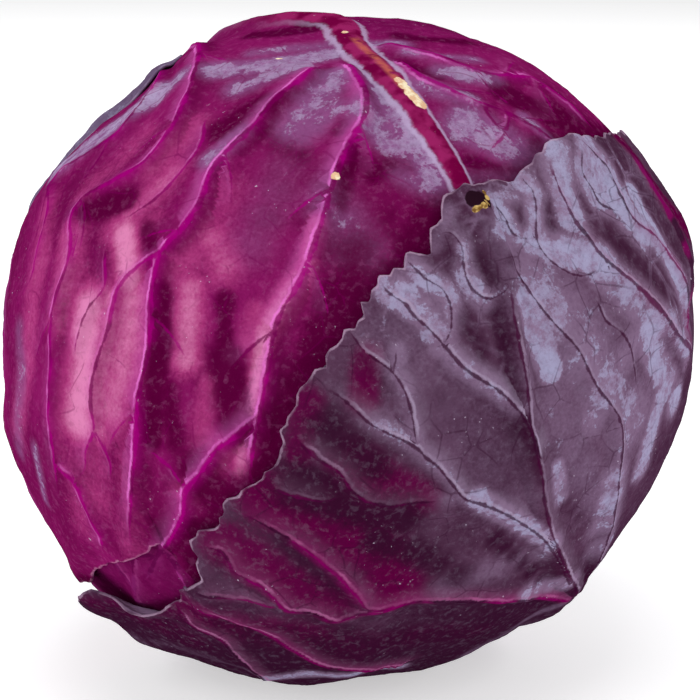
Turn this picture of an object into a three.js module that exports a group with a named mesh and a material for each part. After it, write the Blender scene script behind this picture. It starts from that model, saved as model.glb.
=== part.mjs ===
// A red cabbage head as picked, lying on its side with its crown towards the front.
// Five wrapper leaves lie in layers over the dense heart, and all of them spring from the cut stem behind.
// Every surface is a distance from the head's centre, given by direction, so that the layers never cross.
// Lengths are millimetres, +Z is up, and the head rests at z = 0 on a small pressed spot.
import * as THREE from "three";

// Driving sizes
const HEAD_RADIUS = 73.8;
const HEAD_CENTRE_X = 0.3;
const HEAD_CENTRE_Y = 1.4;
const PRESSED_IN = 1.9; // how far the resting side is pushed in
const LEAF_THICKNESS = 1.3;
const MARGIN_THICKNESS = 0.8;
const LAYER_GAP = 0.6;
const MARGIN_TAPER = 10; // width of the band in which a leaf thins towards its margin
const DRAPE_BAND = 14; // width of the band in which a leaf comes down beside one that it covers
const STUMP_RADIUS = 15;
const STUMP_END = 83;
const REST_LAYER = 1.2; // height of the heart's pressed side above the surface
const RIB_PROFILE = 0.35; // share of a midrib's half width that is its rounded top
const RIB_TAPER = 0.35; // below 1, so that a midrib thins quickest near the stem

// The reference view, in which whatever is seen from the front has its place
const VIEW_TILT = THREE.MathUtils.degToRad(15);
const VIEW_DISTANCE = 690;
const VIEW_RADIUS = 80; // outer radius of the head, before its own form is known
const LEAVES_OVER = 3.6; // height of the seen leaves over the heart
const VIEW_TANGENT = 18 / 155; // half the picture's width over its distance
const VIEW_HALF = 350; // half the picture's width in pixels

const RIGHT = new THREE.Vector3(1, 0, 0);
const UPWARD = new THREE.Vector3(0, Math.sin(VIEW_TILT), Math.cos(VIEW_TILT));
const NEARER = new THREE.Vector3(0, -Math.cos(VIEW_TILT), Math.sin(VIEW_TILT));
const DOWN = new THREE.Vector3(0, 0, -1);
const CROWN = RIGHT.clone().multiplyScalar(0.44).addScaledVector(UPWARD, 0.29)
  .addScaledVector(NEARER, 0.85).normalize();
const STEM = CROWN.clone().negate();

// A direction from the head's centre, by the pixel that shows it in the reference view.
function seen(x, y, radius = VIEW_RADIUS) {
  const ray = RIGHT.clone().multiplyScalar(((x - VIEW_HALF) / VIEW_HALF) * VIEW_TANGENT)
    .addScaledVector(UPWARD, ((VIEW_HALF - y) / VIEW_HALF) * VIEW_TANGENT)
    .sub(NEARER);
  const square = ray.lengthSq();
  const inside = VIEW_DISTANCE ** 2 - square * (VIEW_DISTANCE ** 2 - radius ** 2);
  const along = (VIEW_DISTANCE - Math.sqrt(Math.max(inside, 0))) / square;
  return NEARER.clone().multiplyScalar(VIEW_DISTANCE).addScaledVector(ray, along).normalize();
}

// The axes round the stem: 0 degrees lies towards the top of the reference view.
const TOP_OF_HEAD = seen(340, 22);
const AROUND_0 = TOP_OF_HEAD.clone().addScaledVector(CROWN, -TOP_OF_HEAD.dot(CROWN)).normalize();
const AROUND_90 = CROWN.clone().cross(AROUND_0);

// A direction by its angle round the stem and its angle away from it, in degrees.
function behind(around, fromStem) {
  const a = THREE.MathUtils.degToRad(around);
  const f = THREE.MathUtils.degToRad(fromStem);
  return STEM.clone().multiplyScalar(Math.cos(f))
    .addScaledVector(AROUND_0, Math.sin(f) * Math.cos(a))
    .addScaledVector(AROUND_90, Math.sin(f) * Math.sin(a));
}

const { smoothstep, clamp, lerp } = THREE.MathUtils;

// The head's own form: a ball with a few broad swellings and hollows, each [x, y, height, spread].
const SWELLINGS = [
  [20, 350, 4.0, 40],
  [690, 270, 3.9, 34],
  [270, 15, 2.2, 20],
  [347, 20, -3.4, 16],
  [110, 90, -2.0, 20],
  [40, 190, 2.6, 14],
  [510, 60, 2.0, 18],
  [560, 610, -2.8, 34],
  [420, 690, -0.2, 26],
  [130, 640, 1.2, 22],
].map(([x, y, height, spread]) => ({
  centre: seen(x, y),
  height,
  sharpness: 1 / (1 - Math.cos(THREE.MathUtils.degToRad(spread))),
}));

function roundRadius(d) {
  return SWELLINGS.reduce(
    (r, s) => r + s.height * Math.exp((d.dot(s.centre) - 1) * s.sharpness),
    HEAD_RADIUS,
  );
}

// The direction to what a pixel shows on the leaves, which lie nearer or farther than a plain ball's surface.
function onLeaves(x, y) {
  let d = seen(x, y);
  for (let pass = 0; pass < 3; pass++) d = seen(x, y, roundRadius(d) + LEAVES_OVER);
  return d;
}

const REST_DISTANCE = roundRadius(DOWN) - PRESSED_IN;
const HEAD_CENTRE = new THREE.Vector3(HEAD_CENTRE_X, HEAD_CENTRE_Y, REST_DISTANCE + REST_LAYER);

// Radius of the heart, with its resting side pressed flat and rounded over into the rest.
function heartRadius(d) {
  const round = roundRadius(d);
  const down = d.dot(DOWN);
  if (down < 0.5) return round;
  const flat = REST_DISTANCE / down;
  const blend = 1.5;
  const share = clamp(0.5 + (flat - round) / (2 * blend), 0, 1);
  return lerp(flat, round, share) - blend * share * (1 - share);
}

// A smooth line through directions, sampled every millimetre or so.
function lineThrough(points) {
  const curve = new THREE.CatmullRomCurve3(points, false, "centripetal");
  const samples = Math.max(2, Math.ceil(curve.getLength() * HEAD_RADIUS / 1.5));
  return curve.getPoints(samples).map((p) => p.normalize());
}

// Where a vein is nearest to a direction: how far off, in mm, how far along it, from 0 to 1, and the point.
function nearestOn(vein, d) {
  let best = 0;
  let least = Infinity;
  vein.line.forEach((p, i) => {
    const away = p.distanceToSquared(d);
    if (away < least) {
      least = away;
      best = i;
    }
  });
  return {
    off: Math.sqrt(least) * HEAD_RADIUS,
    along: best / (vein.line.length - 1),
    point: vein.line[best],
  };
}

class Leaf {
  // spec: centre, margin (directions), rib (directions from base to tip), veins, curls, colour
  constructor(name, spec) {
    Object.assign(this, spec, { name });
    this.toStem = STEM.clone().addScaledVector(this.centre, -STEM.dot(this.centre)).normalize();
    this.side = this.centre.clone().cross(this.toStem);
    this.edge = spec.margin.map((d) => this.polar(d)).sort((p, q) => p.bearing - q.bearing);
    this.rib = { line: lineThrough(spec.rib) };
    this.veins = spec.veins.map((v) => ({ ...v, line: lineThrough(v.points(this)) }));
    this.spacing = (Math.max(...this.edge.map((p) => p.arc)) * 1.5 * HEAD_RADIUS) / this.grid;
    this.covers = [];
  }

  // Bearing from the stem round the leaf's centre, in radians from 0 to 2 pi, and arc from the centre.
  polar(d) {
    const turn = Math.atan2(d.dot(this.side), d.dot(this.toStem));
    return { bearing: (turn + 2 * Math.PI) % (2 * Math.PI), arc: this.centre.angleTo(d) };
  }

  direction(bearing, arc) {
    return this.centre.clone().multiplyScalar(Math.cos(arc))
      .addScaledVector(this.toStem, Math.sin(arc) * Math.cos(bearing))
      .addScaledVector(this.side, Math.sin(arc) * Math.sin(bearing));
  }

  // Arc from the centre to the margin, with the small teeth of a torn and wavy edge.
  reach(bearing) {
    const n = this.edge.length;
    let k = this.edge.findIndex((p) => p.bearing > bearing);
    if (k < 0) k = n;
    const before = this.edge[(k + n - 1) % n];
    const after = this.edge[k % n];
    const span = (after.bearing - before.bearing + 2 * Math.PI) % (2 * Math.PI);
    const part = ((bearing - before.bearing + 2 * Math.PI) % (2 * Math.PI)) / (span || 1);
    const teeth = Math.sin(bearing * 17 + this.seed) + 0.6 * Math.sin(bearing * 29 + 2 * this.seed)
      + 0.4 * Math.sin(bearing * 47 + 3 * this.seed);
    const atBase = smoothstep(Math.cos(bearing), 0.8, 0.97);
    return lerp(before.arc, after.arc, part) + (this.teeth * teeth * (1 - atBase)) / HEAD_RADIUS;
  }

  // Distance inside the margin in mm, negative outside it.
  insideBy(d) {
    const { bearing, arc } = this.polar(d);
    return (this.reach(bearing) - arc) * HEAD_RADIUS;
  }

  // A point on the midrib, by its distance from the stem along it.
  onRib(mm) {
    const line = this.rib.line;
    return line[clamp(Math.round(mm / 1.5), 0, line.length - 1)];
  }

  // How far the midrib and the veins stand out of the blade.
  relief(d) {
    const rib = nearestOn(this.rib, d);
    const half = lerp(this.ribWidth[0], this.ribWidth[1], rib.along ** RIB_TAPER) / 2;
    const high = lerp(this.ribHeight[0], this.ribHeight[1], rib.along ** RIB_TAPER);
    let out = high * (1 - smoothstep(rib.off, half * RIB_PROFILE, half * 2));
    for (const vein of this.veins) {
      const { off, along } = nearestOn(vein, d);
      const reachOut = 1 - off / vein.skirt;
      if (reachOut > 0) out = Math.max(out, vein.high * (1 - 0.5 * along) * reachOut ** 1.5);
    }
    return out;
  }

  // How far the blade stands off what it lies on: near its margin, and more where it curls.
  lift(d, inside) {
    const { bearing } = this.polar(d);
    const atEdge = 1 - smoothstep(inside, 0, 16);
    let out = this.ajar * atEdge * (1 + 0.5 * Math.sin(bearing * 9 + this.seed));
    for (const curl of this.curls) {
      const near = Math.exp((d.dot(curl.at) - 1) * curl.sharpness);
      out += curl.high * near * (1 - smoothstep(inside, 0, curl.depth));
    }
    return out * this.freedom(d);
  }

  // 1 where nothing lies on this leaf, less where an outer one presses on it.
  freedom(d) {
    return this.covers.reduce((f, outer) => f * (1 - 0.8 * smoothstep(outer.insideBy(d), 2, 14)), 1);
  }

  thickness(inside) {
    return lerp(MARGIN_THICKNESS, LEAF_THICKNESS, smoothstep(inside, 0, MARGIN_TAPER));
  }

  // What this leaf adds to the height of the leaves over it.
  load(d) {
    const inside = this.insideBy(d);
    if (inside < -DRAPE_BAND) return 0;
    const held = this.relief(d) * (0.35 + 0.65 * this.freedom(d)) + this.lift(d, Math.max(inside, 0));
    return smoothstep(inside, -DRAPE_BAND, 0) * (LEAF_THICKNESS + LAYER_GAP + held);
  }
}

const curl = (x, y, high, spread, depth) => ({
  at: onLeaves(x, y),
  high,
  depth,
  sharpness: 1 / (1 - Math.cos(THREE.MathUtils.degToRad(spread))),
});

// Veins: seenVein starts on the midrib, a given distance from the stem, or at its own first pixel.
const seenVein = (fromRib, pixels, high, skirt) => ({
  high,
  skirt,
  points: (leaf) => [
    ...(fromRib === null ? [] : [leaf.onRib(fromRib)]),
    ...pixels.map(([x, y]) => onLeaves(x, y)),
  ],
});

// A side vein that nobody has placed: it leaves the midrib forwards and bends along the blade to near the
// margin.
const grownVein = (fromRib, side, high, skirt) => ({
  high,
  skirt,
  points: (leaf) => {
    const step = 6 / HEAD_RADIUS;
    const at = leaf.onRib(fromRib).clone();
    const heading = leaf.onRib(fromRib + 6).clone().sub(at).normalize()
      .applyAxisAngle(at, side * THREE.MathUtils.degToRad(52));
    const points = [at.clone()];
    while (points.length < 20) {
      at.addScaledVector(heading, step).normalize();
      heading.applyAxisAngle(at, -side * 0.05).addScaledVector(at, -heading.dot(at)).normalize();
      if (points.length > 2 && leaf.insideBy(at) < 5) break;
      points.push(at.clone());
    }
    return points;
  },
});

const pairs = (distances, high, skirt) =>
  distances.flatMap((mm) => [grownVein(mm, 1, high, skirt), grownVein(mm + 5, -1, high, skirt)]);

const px = (pixels) => pixels.map(([x, y]) => onLeaves(x, y));
const back = (angles) => angles.map(([around, fromStem]) => behind(around, fromStem));

// The leaf behind the lower left, of which a strip shows between the two big ones.
const innerLeft = new Leaf("leaf_inner_left", {
  centre: behind(126, 82),
  margin: back([
    [104, 13], [116, 13], [128, 13], [140, 13], [144, 22], [146, 45], [146, 75], [146, 105], [140, 126],
    [126, 136], [108, 128], [92, 112], [84, 85], [86, 55], [94, 32], [98, 20],
  ]),
  rib: back([[128, 12.6], [128, 40], [127, 80], [126, 118], [126, 134]]),
  ribWidth: [20, 2],
  ribHeight: [4.5, 0.6],
  veins: pairs([45, 75, 105], 1.2, 6),
  curls: [],
  ajar: 0.3,
  teeth: 0.8,
  seed: 1.7,
  grid: 18,
  colour: 0x6e2450,
});

// The wrapper leaf that comes over the top. Its left half fills the left of the view.
const top = new Leaf("leaf_top", {
  centre: seen(130, 100),
  margin: [
    ...back([[24, 13], [8, 13], [-8, 13], [-24, 13], [-36, 20], [-50, 36], [-66, 60], [-78, 90], [-84, 112]]),
    ...px([
      [690, 245], [640, 310], [560, 352], [470, 392], [395, 450], [315, 540], [250, 602], [212, 588],
      [165, 545], [140, 553], [108, 563], [96, 568],
    ]),
    ...back([[110, 73], [108, 63], [102, 55], [90, 48], [76, 41], [56, 30], [36, 19]]),
  ],
  rib: [
    ...back([[0, 12.6], [0, 45], [0, 85]]),
    ...px([[338, 20], [378, 64], [418, 110], [446, 150], [470, 196], [500, 262], [530, 320]]),
  ],
  ribWidth: [26, 3.4],
  ribHeight: [5.5, 1.2],
  veins: [
    seenVein(132, [
      [345, 60], [366, 95], [352, 138], [330, 195], [300, 270], [270, 335], [256, 410], [250, 485],
    ], 2.0, 8),
    seenVein(null, [[254, 415], [220, 447], [188, 489], [185, 515], [166, 551]], 1.0, 5),
    seenVein(118, [
      [319, 64], [275, 100], [225, 152], [201, 201], [165, 250], [150, 305], [142, 390], [136, 545],
    ], 2.4, 8),
    seenVein(96, [
      [196, 71], [172, 125], [116, 176], [75, 205], [66, 250], [49, 350], [56, 450], [86, 500], [104, 550],
    ], 2.4, 8),
    seenVein(70, [[136, 107], [98, 143], [50, 178], [36, 235], [14, 300], [10, 380], [28, 460]], 2.2, 8),
    seenVein(null, [[164, 252], [134, 267], [109, 300], [94, 374], [94, 430], [78, 481]], 0.8, 5),
    seenVein(136, [[377, 41], [428, 50], [489, 68], [535, 76], [581, 110], [640, 190]], 2.0, 8),
    seenVein(142, [[397, 57], [443, 84], [504, 107], [563, 144], [620, 215]], 1.8, 8),
    ...pairs([34, 58], 1.8, 7),
    grownVein(86, -1, 1.8, 7),
    grownVein(112, -1, 1.8, 7),
  ],
  curls: [],
  ajar: 0.5,
  teeth: 0.6,
  seed: 4.1,
  grid: 30,
  colour: 0x8a1d5c,
});

// The dark outer leaf that closes over the right and the bottom, with a ragged margin.
const front = new Leaf("leaf_front", {
  centre: seen(575, 560),
  margin: [
    ...px([
      [622, 138], [602, 136], [582, 144], [550, 147], [535, 161], [521, 178], [499, 184], [487, 186],
      [471, 194], [451, 201], [438, 222], [431, 250], [410, 256], [392, 271], [378, 280], [363, 304],
      [362, 317], [345, 326], [324, 362], [308, 383], [290, 428], [268, 470], [250, 491], [231, 503],
      [223, 520], [198, 536], [206, 571], [186, 590], [167, 607], [140, 606], [118, 600], [97, 583],
    ]),
    ...back([
      [119, 62], [126, 52], [140, 38], [156, 25], [168, 16.5], [176, 13], [192, 13], [207, 13], [222, 13],
      [232, 20], [246, 34], [262, 54], [276, 80], [286, 104],
    ]),
  ],
  rib: [
    ...back([[199, 12.6], [199, 40], [199, 70]]),
    ...px([[574, 598], [564, 564], [546, 506], [526, 420], [514, 325], [504, 262], [478, 208]]),
  ],
  ribWidth: [26, 3],
  ribHeight: [5.5, 1.4],
  veins: [
    seenVein(132, [[555, 556], [506, 515], [450, 482], [415, 446], [350, 404], [318, 378]], 1.9, 7),
    seenVein(null, [[415, 439], [404, 390], [392, 372], [352, 338]], 1.1, 5),
    seenVein(168, [[511, 404], [457, 363], [424, 326], [380, 282]], 1.8, 7),
    seenVein(190, [[488, 299], [464, 272], [457, 246], [438, 234]], 1.1, 5),
    seenVein(120, [[545, 601], [450, 604], [366, 603], [320, 552], [257, 514], [215, 506]], 1.9, 8),
    seenVein(106, [[500, 652], [389, 611], [334, 616], [280, 594], [232, 552], [200, 540]], 1.3, 7),
    seenVein(92, [[400, 668], [334, 664], [276, 637], [213, 606], [186, 594]], 1.4, 7),
    seenVein(76, [[300, 680], [251, 663], [217, 633], [170, 604]], 1.4, 7),
    seenVein(124, [[604, 551], [623, 475], [616, 408], [575, 350], [520, 280], [493, 234]], 1.8, 7),
    seenVein(72, [[692, 365], [685, 343], [640, 297], [585, 237], [551, 185], [540, 165]], 1.8, 7),
    seenVein(54, [[690, 330], [682, 292], [652, 240], [618, 196], [568, 146]], 1.8, 7),
    seenVein(40, [[698, 300], [678, 250], [646, 202], [617, 160]], 1.8, 7),
    ...pairs([28], 1.6, 7),
    grownVein(52, 1, 1.6, 7),
  ],
  curls: [
    curl(96, 588, 0.8, 7, 22),
    curl(125, 620, 2.4, 11, 36),
    curl(150, 606, 1.6, 5, 10),
    curl(545, 158, 2.6, 10, 14),
    curl(330, 350, 1.6, 12, 14),
  ],
  ajar: 0.9,
  teeth: 0.7,
  seed: 2.3,
  grid: 30,
  colour: 0x4d3145,
});

// An older, shorter leaf behind. Its rim shows past the upper left of the view.
const backLeft = new Leaf("leaf_back_left", {
  centre: behind(54, 44),
  margin: back([
    [30, 13], [46, 13], [61, 13], [76, 13], [92, 13], [106, 20], [114, 30], [112, 40], [104, 46], [92, 49],
    [74, 53], [60, 57], [51, 62], [43, 69], [36, 79], [30, 90], [24, 97], [17, 100], [12, 97], [9, 84],
    [10, 66], [12, 46], [15, 30], [20, 20],
  ]),
  rib: back([[61, 12.6], [57, 30], [48, 48], [36, 66], [27, 80]]),
  ribWidth: [24, 3],
  ribHeight: [5, 1],
  veins: pairs([22, 38, 54], 1.6, 7),
  curls: [],
  ajar: 0.1,
  teeth: 0.9,
  seed: 5.6,
  grid: 22,
  colour: 0x6a5a75,
});

// The oldest leaf, behind on the right.
const backRight = new Leaf("leaf_back_right", {
  centre: behind(-74, 62),
  margin: back([
    [-104, 13], [-90, 13], [-75, 13], [-60, 13], [-46, 13], [-34, 20], [-18, 34], [-8, 54], [-14, 76],
    [-30, 94], [-50, 104], [-72, 108], [-94, 102], [-116, 88], [-132, 66], [-138, 46], [-130, 30], [-118, 20],
  ]),
  rib: back([[-76, 12.6], [-76, 45], [-74, 75], [-72, 104]]),
  ribWidth: [26, 2.5],
  ribHeight: [5.5, 0.8],
  veins: pairs([28, 48, 70, 92], 1.8, 7),
  curls: [],
  ajar: 0.8,
  teeth: 0.9,
  seed: 3.4,
  grid: 22,
  colour: 0x5d4560,
});

// From the inmost to the outermost
const LEAVES = [innerLeft, top, front, backLeft, backRight];
LEAVES.forEach((leaf, i) => {
  leaf.covers = LEAVES.slice(i + 1);
});

// The greatest load of a lower leaf within the facets of both leaves, so that the upper one clears it.
function clearedLoad(lower, d, spacing) {
  const width = 0.65 * (spacing + lower.spacing);
  const across = new THREE.Vector3(0.31, 0.87, 0.38).cross(d).normalize();
  let most = lower.load(d);
  for (const ring of [0.5, 1]) {
    for (let k = 0; k < 8; k++) {
      const near = d.clone().addScaledVector(across, (ring * width) / HEAD_RADIUS).normalize();
      most = Math.max(most, lower.load(near));
      across.applyAxisAngle(d, Math.PI / 4);
    }
  }
  return most;
}

// The margin as the four sides of a square grid: n steps to a side, equally long within it.
function rimOf(leaf) {
  const fine = 240;
  const n = leaf.grid;
  return [1.25, 1.75, 0.25, 0.75].flatMap((corner) => {
    const along = [0];
    const at = [];
    for (let k = 0; k <= fine; k++) {
      const bearing = (Math.PI * (corner + (0.5 * k) / fine)) % (2 * Math.PI);
      at.push(leaf.direction(bearing, leaf.reach(bearing)));
      if (k > 0) along.push(along[k - 1] + at[k].distanceTo(at[k - 1]));
    }
    return Array.from({ length: n }, (_, step) => at[along.findIndex((x) => x >= (along[fine] * step) / n)]);
  });
}

// The places of the rim's points in a grid of (n + 1) rows, in the rim's order.
function rimPlaces(n) {
  const steps = Array.from({ length: n }, (_, k) => k);
  const row = n + 1;
  return [
    ...steps,
    ...steps.map((k) => k * row + n),
    ...steps.map((k) => n * row + n - k),
    ...steps.map((k) => (n - k) * row),
  ];
}

// The directions of a square grid wrapped onto a blade, row by row, evened out inside its rim.
function gridOver(leaf) {
  const n = leaf.grid;
  const row = n + 1;
  const rim = rimOf(leaf);
  const places = rimPlaces(n);
  const grid = Array.from({ length: row * row }, () => leaf.centre.clone());
  places.forEach((k, step) => { grid[k] = rim[step].clone(); });
  for (let ring = 1; ring < n / 2; ring++) {
    const share = 1 - (2 * ring) / n;
    for (const k of places) {
      const i = Math.round(n / 2 + ((k % row) - n / 2) * share);
      const j = Math.round(n / 2 + (Math.floor(k / row) - n / 2) * share);
      grid[j * row + i].lerpVectors(leaf.centre, grid[k], share).normalize();
    }
  }
  for (let j = 1; j < n; j++) {
    for (let i = 1; i < n; i++) {
      const k = j * row + i;
      grid[k].copy(grid[k - 1]).add(grid[k + 1]).add(grid[k - row]).add(grid[k + row]).normalize();
    }
  }
  return grid;
}

const gridSquares = (n) => Array.from({ length: n * n }, (_, k) => {
  const p = Math.floor(k / n) * (n + 1) + (k % n);
  return [p, p + 1, p + n + 2, p + n + 1];
});
const bothSplits = ([p, q, r, s]) => [[[p, q, r], [p, r, s]], [[p, q, s], [q, r, s]]];

// The two triangles of each grid square, split along its higher diagonal unless that folds a facet over.
function gridTriangles(grid, heights, n) {
  return gridSquares(n).flatMap((square) => {
    const [rising, falling] = bothSplits(square);
    const [p, q, r, s] = square.map((k) => heights[k]);
    const [first, second] = p + r >= q + s ? [rising, falling] : [falling, rising];
    const least = (split) => Math.min(...split.map((t) => outwardArea(t, grid)));
    return least(first) < 0.4 && least(second) > least(first) ? second : first;
  });
}

// How much of a facet faces outwards, in square millimetres.
function outwardArea([p, q, r], grid) {
  const edge = grid[q].clone().sub(grid[p]).cross(grid[r].clone().sub(grid[p]));
  return (edge.dot(grid[p]) / 2) * HEAD_RADIUS ** 2;
}

// Moves the grid's inner points that are close to a vein onto its crest, wherever that folds no facet.
function ontoVeins(leaf, plain) {
  const n = leaf.grid;
  const rim = new Set(rimPlaces(n));
  const grid = plain.map((d, k) => (rim.has(k) ? d : nearestCrest(leaf, d, 0.4 * leaf.spacing)));
  for (let pass = 0; pass < 6; pass++) {
    const folded = gridSquares(n).flatMap(bothSplits).flat()
      .filter((t) => outwardArea(t, grid) < 0.25 * outwardArea(t, plain));
    folded.flat().forEach((k) => { grid[k] = plain[k]; });
  }
  return grid;
}

function nearestCrest(leaf, d, within) {
  let best = { off: within, point: d };
  for (const vein of [leaf.rib, ...leaf.veins]) {
    const near = nearestOn(vein, d);
    if (near.off < best.off) best = near;
  }
  return best.point;
}

// A leaf as a closed solid: its inner face, its outer face and the rim between them.
function leafSolid(leaf, under) {
  const outer = [];
  const inner = [];
  const heights = [];
  const grid = ontoVeins(leaf, gridOver(leaf));
  const place = (d, radius) => {
    const p = d.clone().multiplyScalar(radius).add(HEAD_CENTRE);
    return p.setZ(Math.max(p.z, 0));
  };
  for (const d of grid) {
    const inside = Math.max(leaf.insideBy(d), 0);
    const floor = heartRadius(d) + LAYER_GAP + leaf.lift(d, inside)
      + under.reduce((sum, lower) => sum + clearedLoad(lower, d, leaf.spacing), 0);
    const relief = leaf.relief(d) * (0.35 + 0.65 * leaf.freedom(d)) * smoothstep(inside, 0, 5);
    heights.push(relief);
    inner.push(place(d, floor));
    outer.push(place(d, floor + leaf.thickness(inside) + relief));
  }
  return solidFromFaces(outer, inner, gridTriangles(grid, heights, leaf.grid), leaf.grid);
}

function solidFromFaces(outer, inner, triangles, n) {
  const count = (n + 1) ** 2;
  const index = triangles.flatMap(([u, v, w]) => [u, v, w, u + count, w + count, v + count]);
  const rim = rimPlaces(n);
  rim.forEach((u, k) => {
    const v = rim[(k + 1) % rim.length];
    index.push(u, u + count, v, v, u + count, v + count);
  });
  return new THREE.BufferGeometry().setFromPoints([...outer, ...inner]).setIndex(index);
}

// The dense ball of younger leaves inside the wrapper leaves.
function heartSolid() {
  const ball = new THREE.IcosahedronGeometry(1, 7);
  const spots = ball.getAttribute("position");
  for (let k = 0; k < spots.count; k++) {
    const d = new THREE.Vector3().fromBufferAttribute(spots, k).normalize();
    const p = d.multiplyScalar(heartRadius(d) - 0.5).add(HEAD_CENTRE);
    spots.setXYZ(k, p.x, p.y, p.z);
  }
  return ball;
}

// The cut stump: its inner end follows the heart, and its cut face has a slightly broken rim.
function stumpSolid() {
  const hollow = roundRadius(STEM) + 0.5;
  const profile = [0, 5, 10, STUMP_RADIUS].map((r) => new THREE.Vector2(r, Math.sqrt(hollow ** 2 - r ** 2)));
  profile.push(
    new THREE.Vector2(STUMP_RADIUS + 0.3, STUMP_END - 3),
    new THREE.Vector2(STUMP_RADIUS - 0.2, STUMP_END - 1),
    new THREE.Vector2(STUMP_RADIUS - 1.4, STUMP_END),
    new THREE.Vector2(0, STUMP_END),
  );
  const stump = new THREE.LatheGeometry(profile, 28);
  const stand = new THREE.Quaternion().setFromUnitVectors(new THREE.Vector3(0, 1, 0), STEM);
  return stump.applyQuaternion(stand).translate(...HEAD_CENTRE.toArray());
}

const head = new THREE.Group();

function add(name, geometry, color, roughness) {
  const mesh = new THREE.Mesh(geometry, new THREE.MeshStandardMaterial({ color, roughness, metalness: 0 }));
  mesh.name = name;
  head.add(mesh);
}

add("heart", heartSolid(), 0x7a2c58, 0.5);
add("stem", stumpSolid(), 0xd9cdb4, 0.75);
LEAVES.forEach((leaf, i) => add(leaf.name, leafSolid(leaf, LEAVES.slice(0, i)), leaf.colour, 0.42));

export default head;
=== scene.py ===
"""A red cabbage head as picked, lying on its side with its crown towards the front.

Each wrapper leaf of the frame is replaced by a fine mesh of the same blade. Its margin, midrib and
veins are where the photograph shows them, and where nothing is seen veins grow by a rule. Lengths are
in millimetres until a mesh is made. Every surface is a distance from the head's centre, by direction.
"""
import math

import bpy
import numpy as np
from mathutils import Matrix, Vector


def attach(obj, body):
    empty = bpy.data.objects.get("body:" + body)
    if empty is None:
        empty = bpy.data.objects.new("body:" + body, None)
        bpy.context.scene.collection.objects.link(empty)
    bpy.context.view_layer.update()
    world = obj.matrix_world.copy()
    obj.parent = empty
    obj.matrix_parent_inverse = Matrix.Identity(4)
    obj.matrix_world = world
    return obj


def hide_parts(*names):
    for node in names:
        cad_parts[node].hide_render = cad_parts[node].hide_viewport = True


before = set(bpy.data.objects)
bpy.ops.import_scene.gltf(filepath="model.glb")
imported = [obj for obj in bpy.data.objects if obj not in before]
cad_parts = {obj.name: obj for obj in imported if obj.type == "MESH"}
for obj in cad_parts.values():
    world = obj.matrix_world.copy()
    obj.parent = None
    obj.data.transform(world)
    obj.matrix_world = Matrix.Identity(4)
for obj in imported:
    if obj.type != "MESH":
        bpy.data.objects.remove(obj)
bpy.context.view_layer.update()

# Driving sizes, as in the solids
HEAD_RADIUS = 73.8
PRESSED_IN = 1.9
REST_LAYER = 1.2
LEAF_THICKNESS = 1.2
MARGIN_THICKNESS = 0.7
LAYER_GAP = 0.5
MARGIN_TAPER = 8.0
DRAPE_BAND = 12.0
STUMP_RADIUS = 15.0
STUMP_END = 83.0
RIB_TAPER = 0.35  # below 1, so that a midrib thins quickest near the stem
FINE = 288  # squares along a side of a visible leaf's outer face
COARSER = 4  # the inner face has one square for so many of the outer one's
SAMPLE = 0.6  # between the points of a midrib or vein
HELD_FLAT = 0.35  # the share of its relief that a blade keeps under an outer leaf
WIDEST_SKIRT = 16.0  # no vein raises the blade further off than this
LIFTED_BAND = 16.0  # how far in from its margin a leaf stands off
WAVES = (0.45, 26)  # height and wavelength of a blade's broad waves
RIPPLES = (0.16, 9)
DEEPEST = 0.3  # how far the relief may go below the blade
RIM_BULGE = 0.28  # how far a margin is rounded outwards
NET_SPACING = 6.5  # of the net of veinlets
NET_BEND = 0.6
NET_HEIGHT = 0.16
NET_WIDTH = 0.8

# The photograph's view
VIEW_TILT = math.radians(15)
VIEW_DISTANCE = 690.0
VIEW_RADIUS = 80.0  # where a pixel falls on the head, if it isn't placed more exactly
LEAVES_OVER = 3.6  # the leaves' height over the head's own form
LENS = 155.0
SENSOR = 36.0
VIEW_HALF = 350.0  # half the photograph's width in pixels

RIGHT = np.array([1.0, 0.0, 0.0])
UPWARD = np.array([0.0, math.sin(VIEW_TILT), math.cos(VIEW_TILT)])
NEARER = np.array([0.0, -math.cos(VIEW_TILT), math.sin(VIEW_TILT)])
DOWN = np.array([0.0, 0.0, -1.0])


def unit(v):
    return v / np.linalg.norm(v, axis=-1, keepdims=True)


CROWN = unit(0.44 * RIGHT + 0.29 * UPWARD + 0.85 * NEARER)
STEM = -CROWN


def seen(x, y, radius=VIEW_RADIUS):
    """The direction from the head's centre to what a pixel shows, at a distance from the centre."""
    tangent = SENSOR / 2 / LENS
    across, up = (x - VIEW_HALF) / VIEW_HALF * tangent, (VIEW_HALF - y) / VIEW_HALF * tangent
    ray = RIGHT * across + UPWARD * up - NEARER
    square = ray @ ray
    inside = max(VIEW_DISTANCE**2 - square * (VIEW_DISTANCE**2 - radius**2), 0.0)
    along = (VIEW_DISTANCE - math.sqrt(inside)) / square
    return unit(NEARER * VIEW_DISTANCE + ray * along)


TOP_OF_HEAD = seen(340, 22)
AROUND_0 = unit(TOP_OF_HEAD - CROWN * (TOP_OF_HEAD @ CROWN))
AROUND_90 = np.cross(CROWN, AROUND_0)


def behind(around, from_stem):
    """The direction at an angle round the stem, counted from the top, and an angle away from it."""
    a, f = math.radians(around), math.radians(from_stem)
    return STEM * math.cos(f) + (AROUND_0 * math.cos(a) + AROUND_90 * math.sin(a)) * math.sin(f)


def on_leaves(x, y):
    """The same for a pixel on the leaves, whose distance from the centre is the head's own there."""
    d = seen(x, y)
    for _ in range(3):
        d = seen(x, y, round_radius(d) + LEAVES_OVER)
    return d


def pixels(*points):
    return [on_leaves(x, y) for x, y in points]


def hidden(*angles):
    return [behind(around, from_stem) for around, from_stem in angles]


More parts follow.
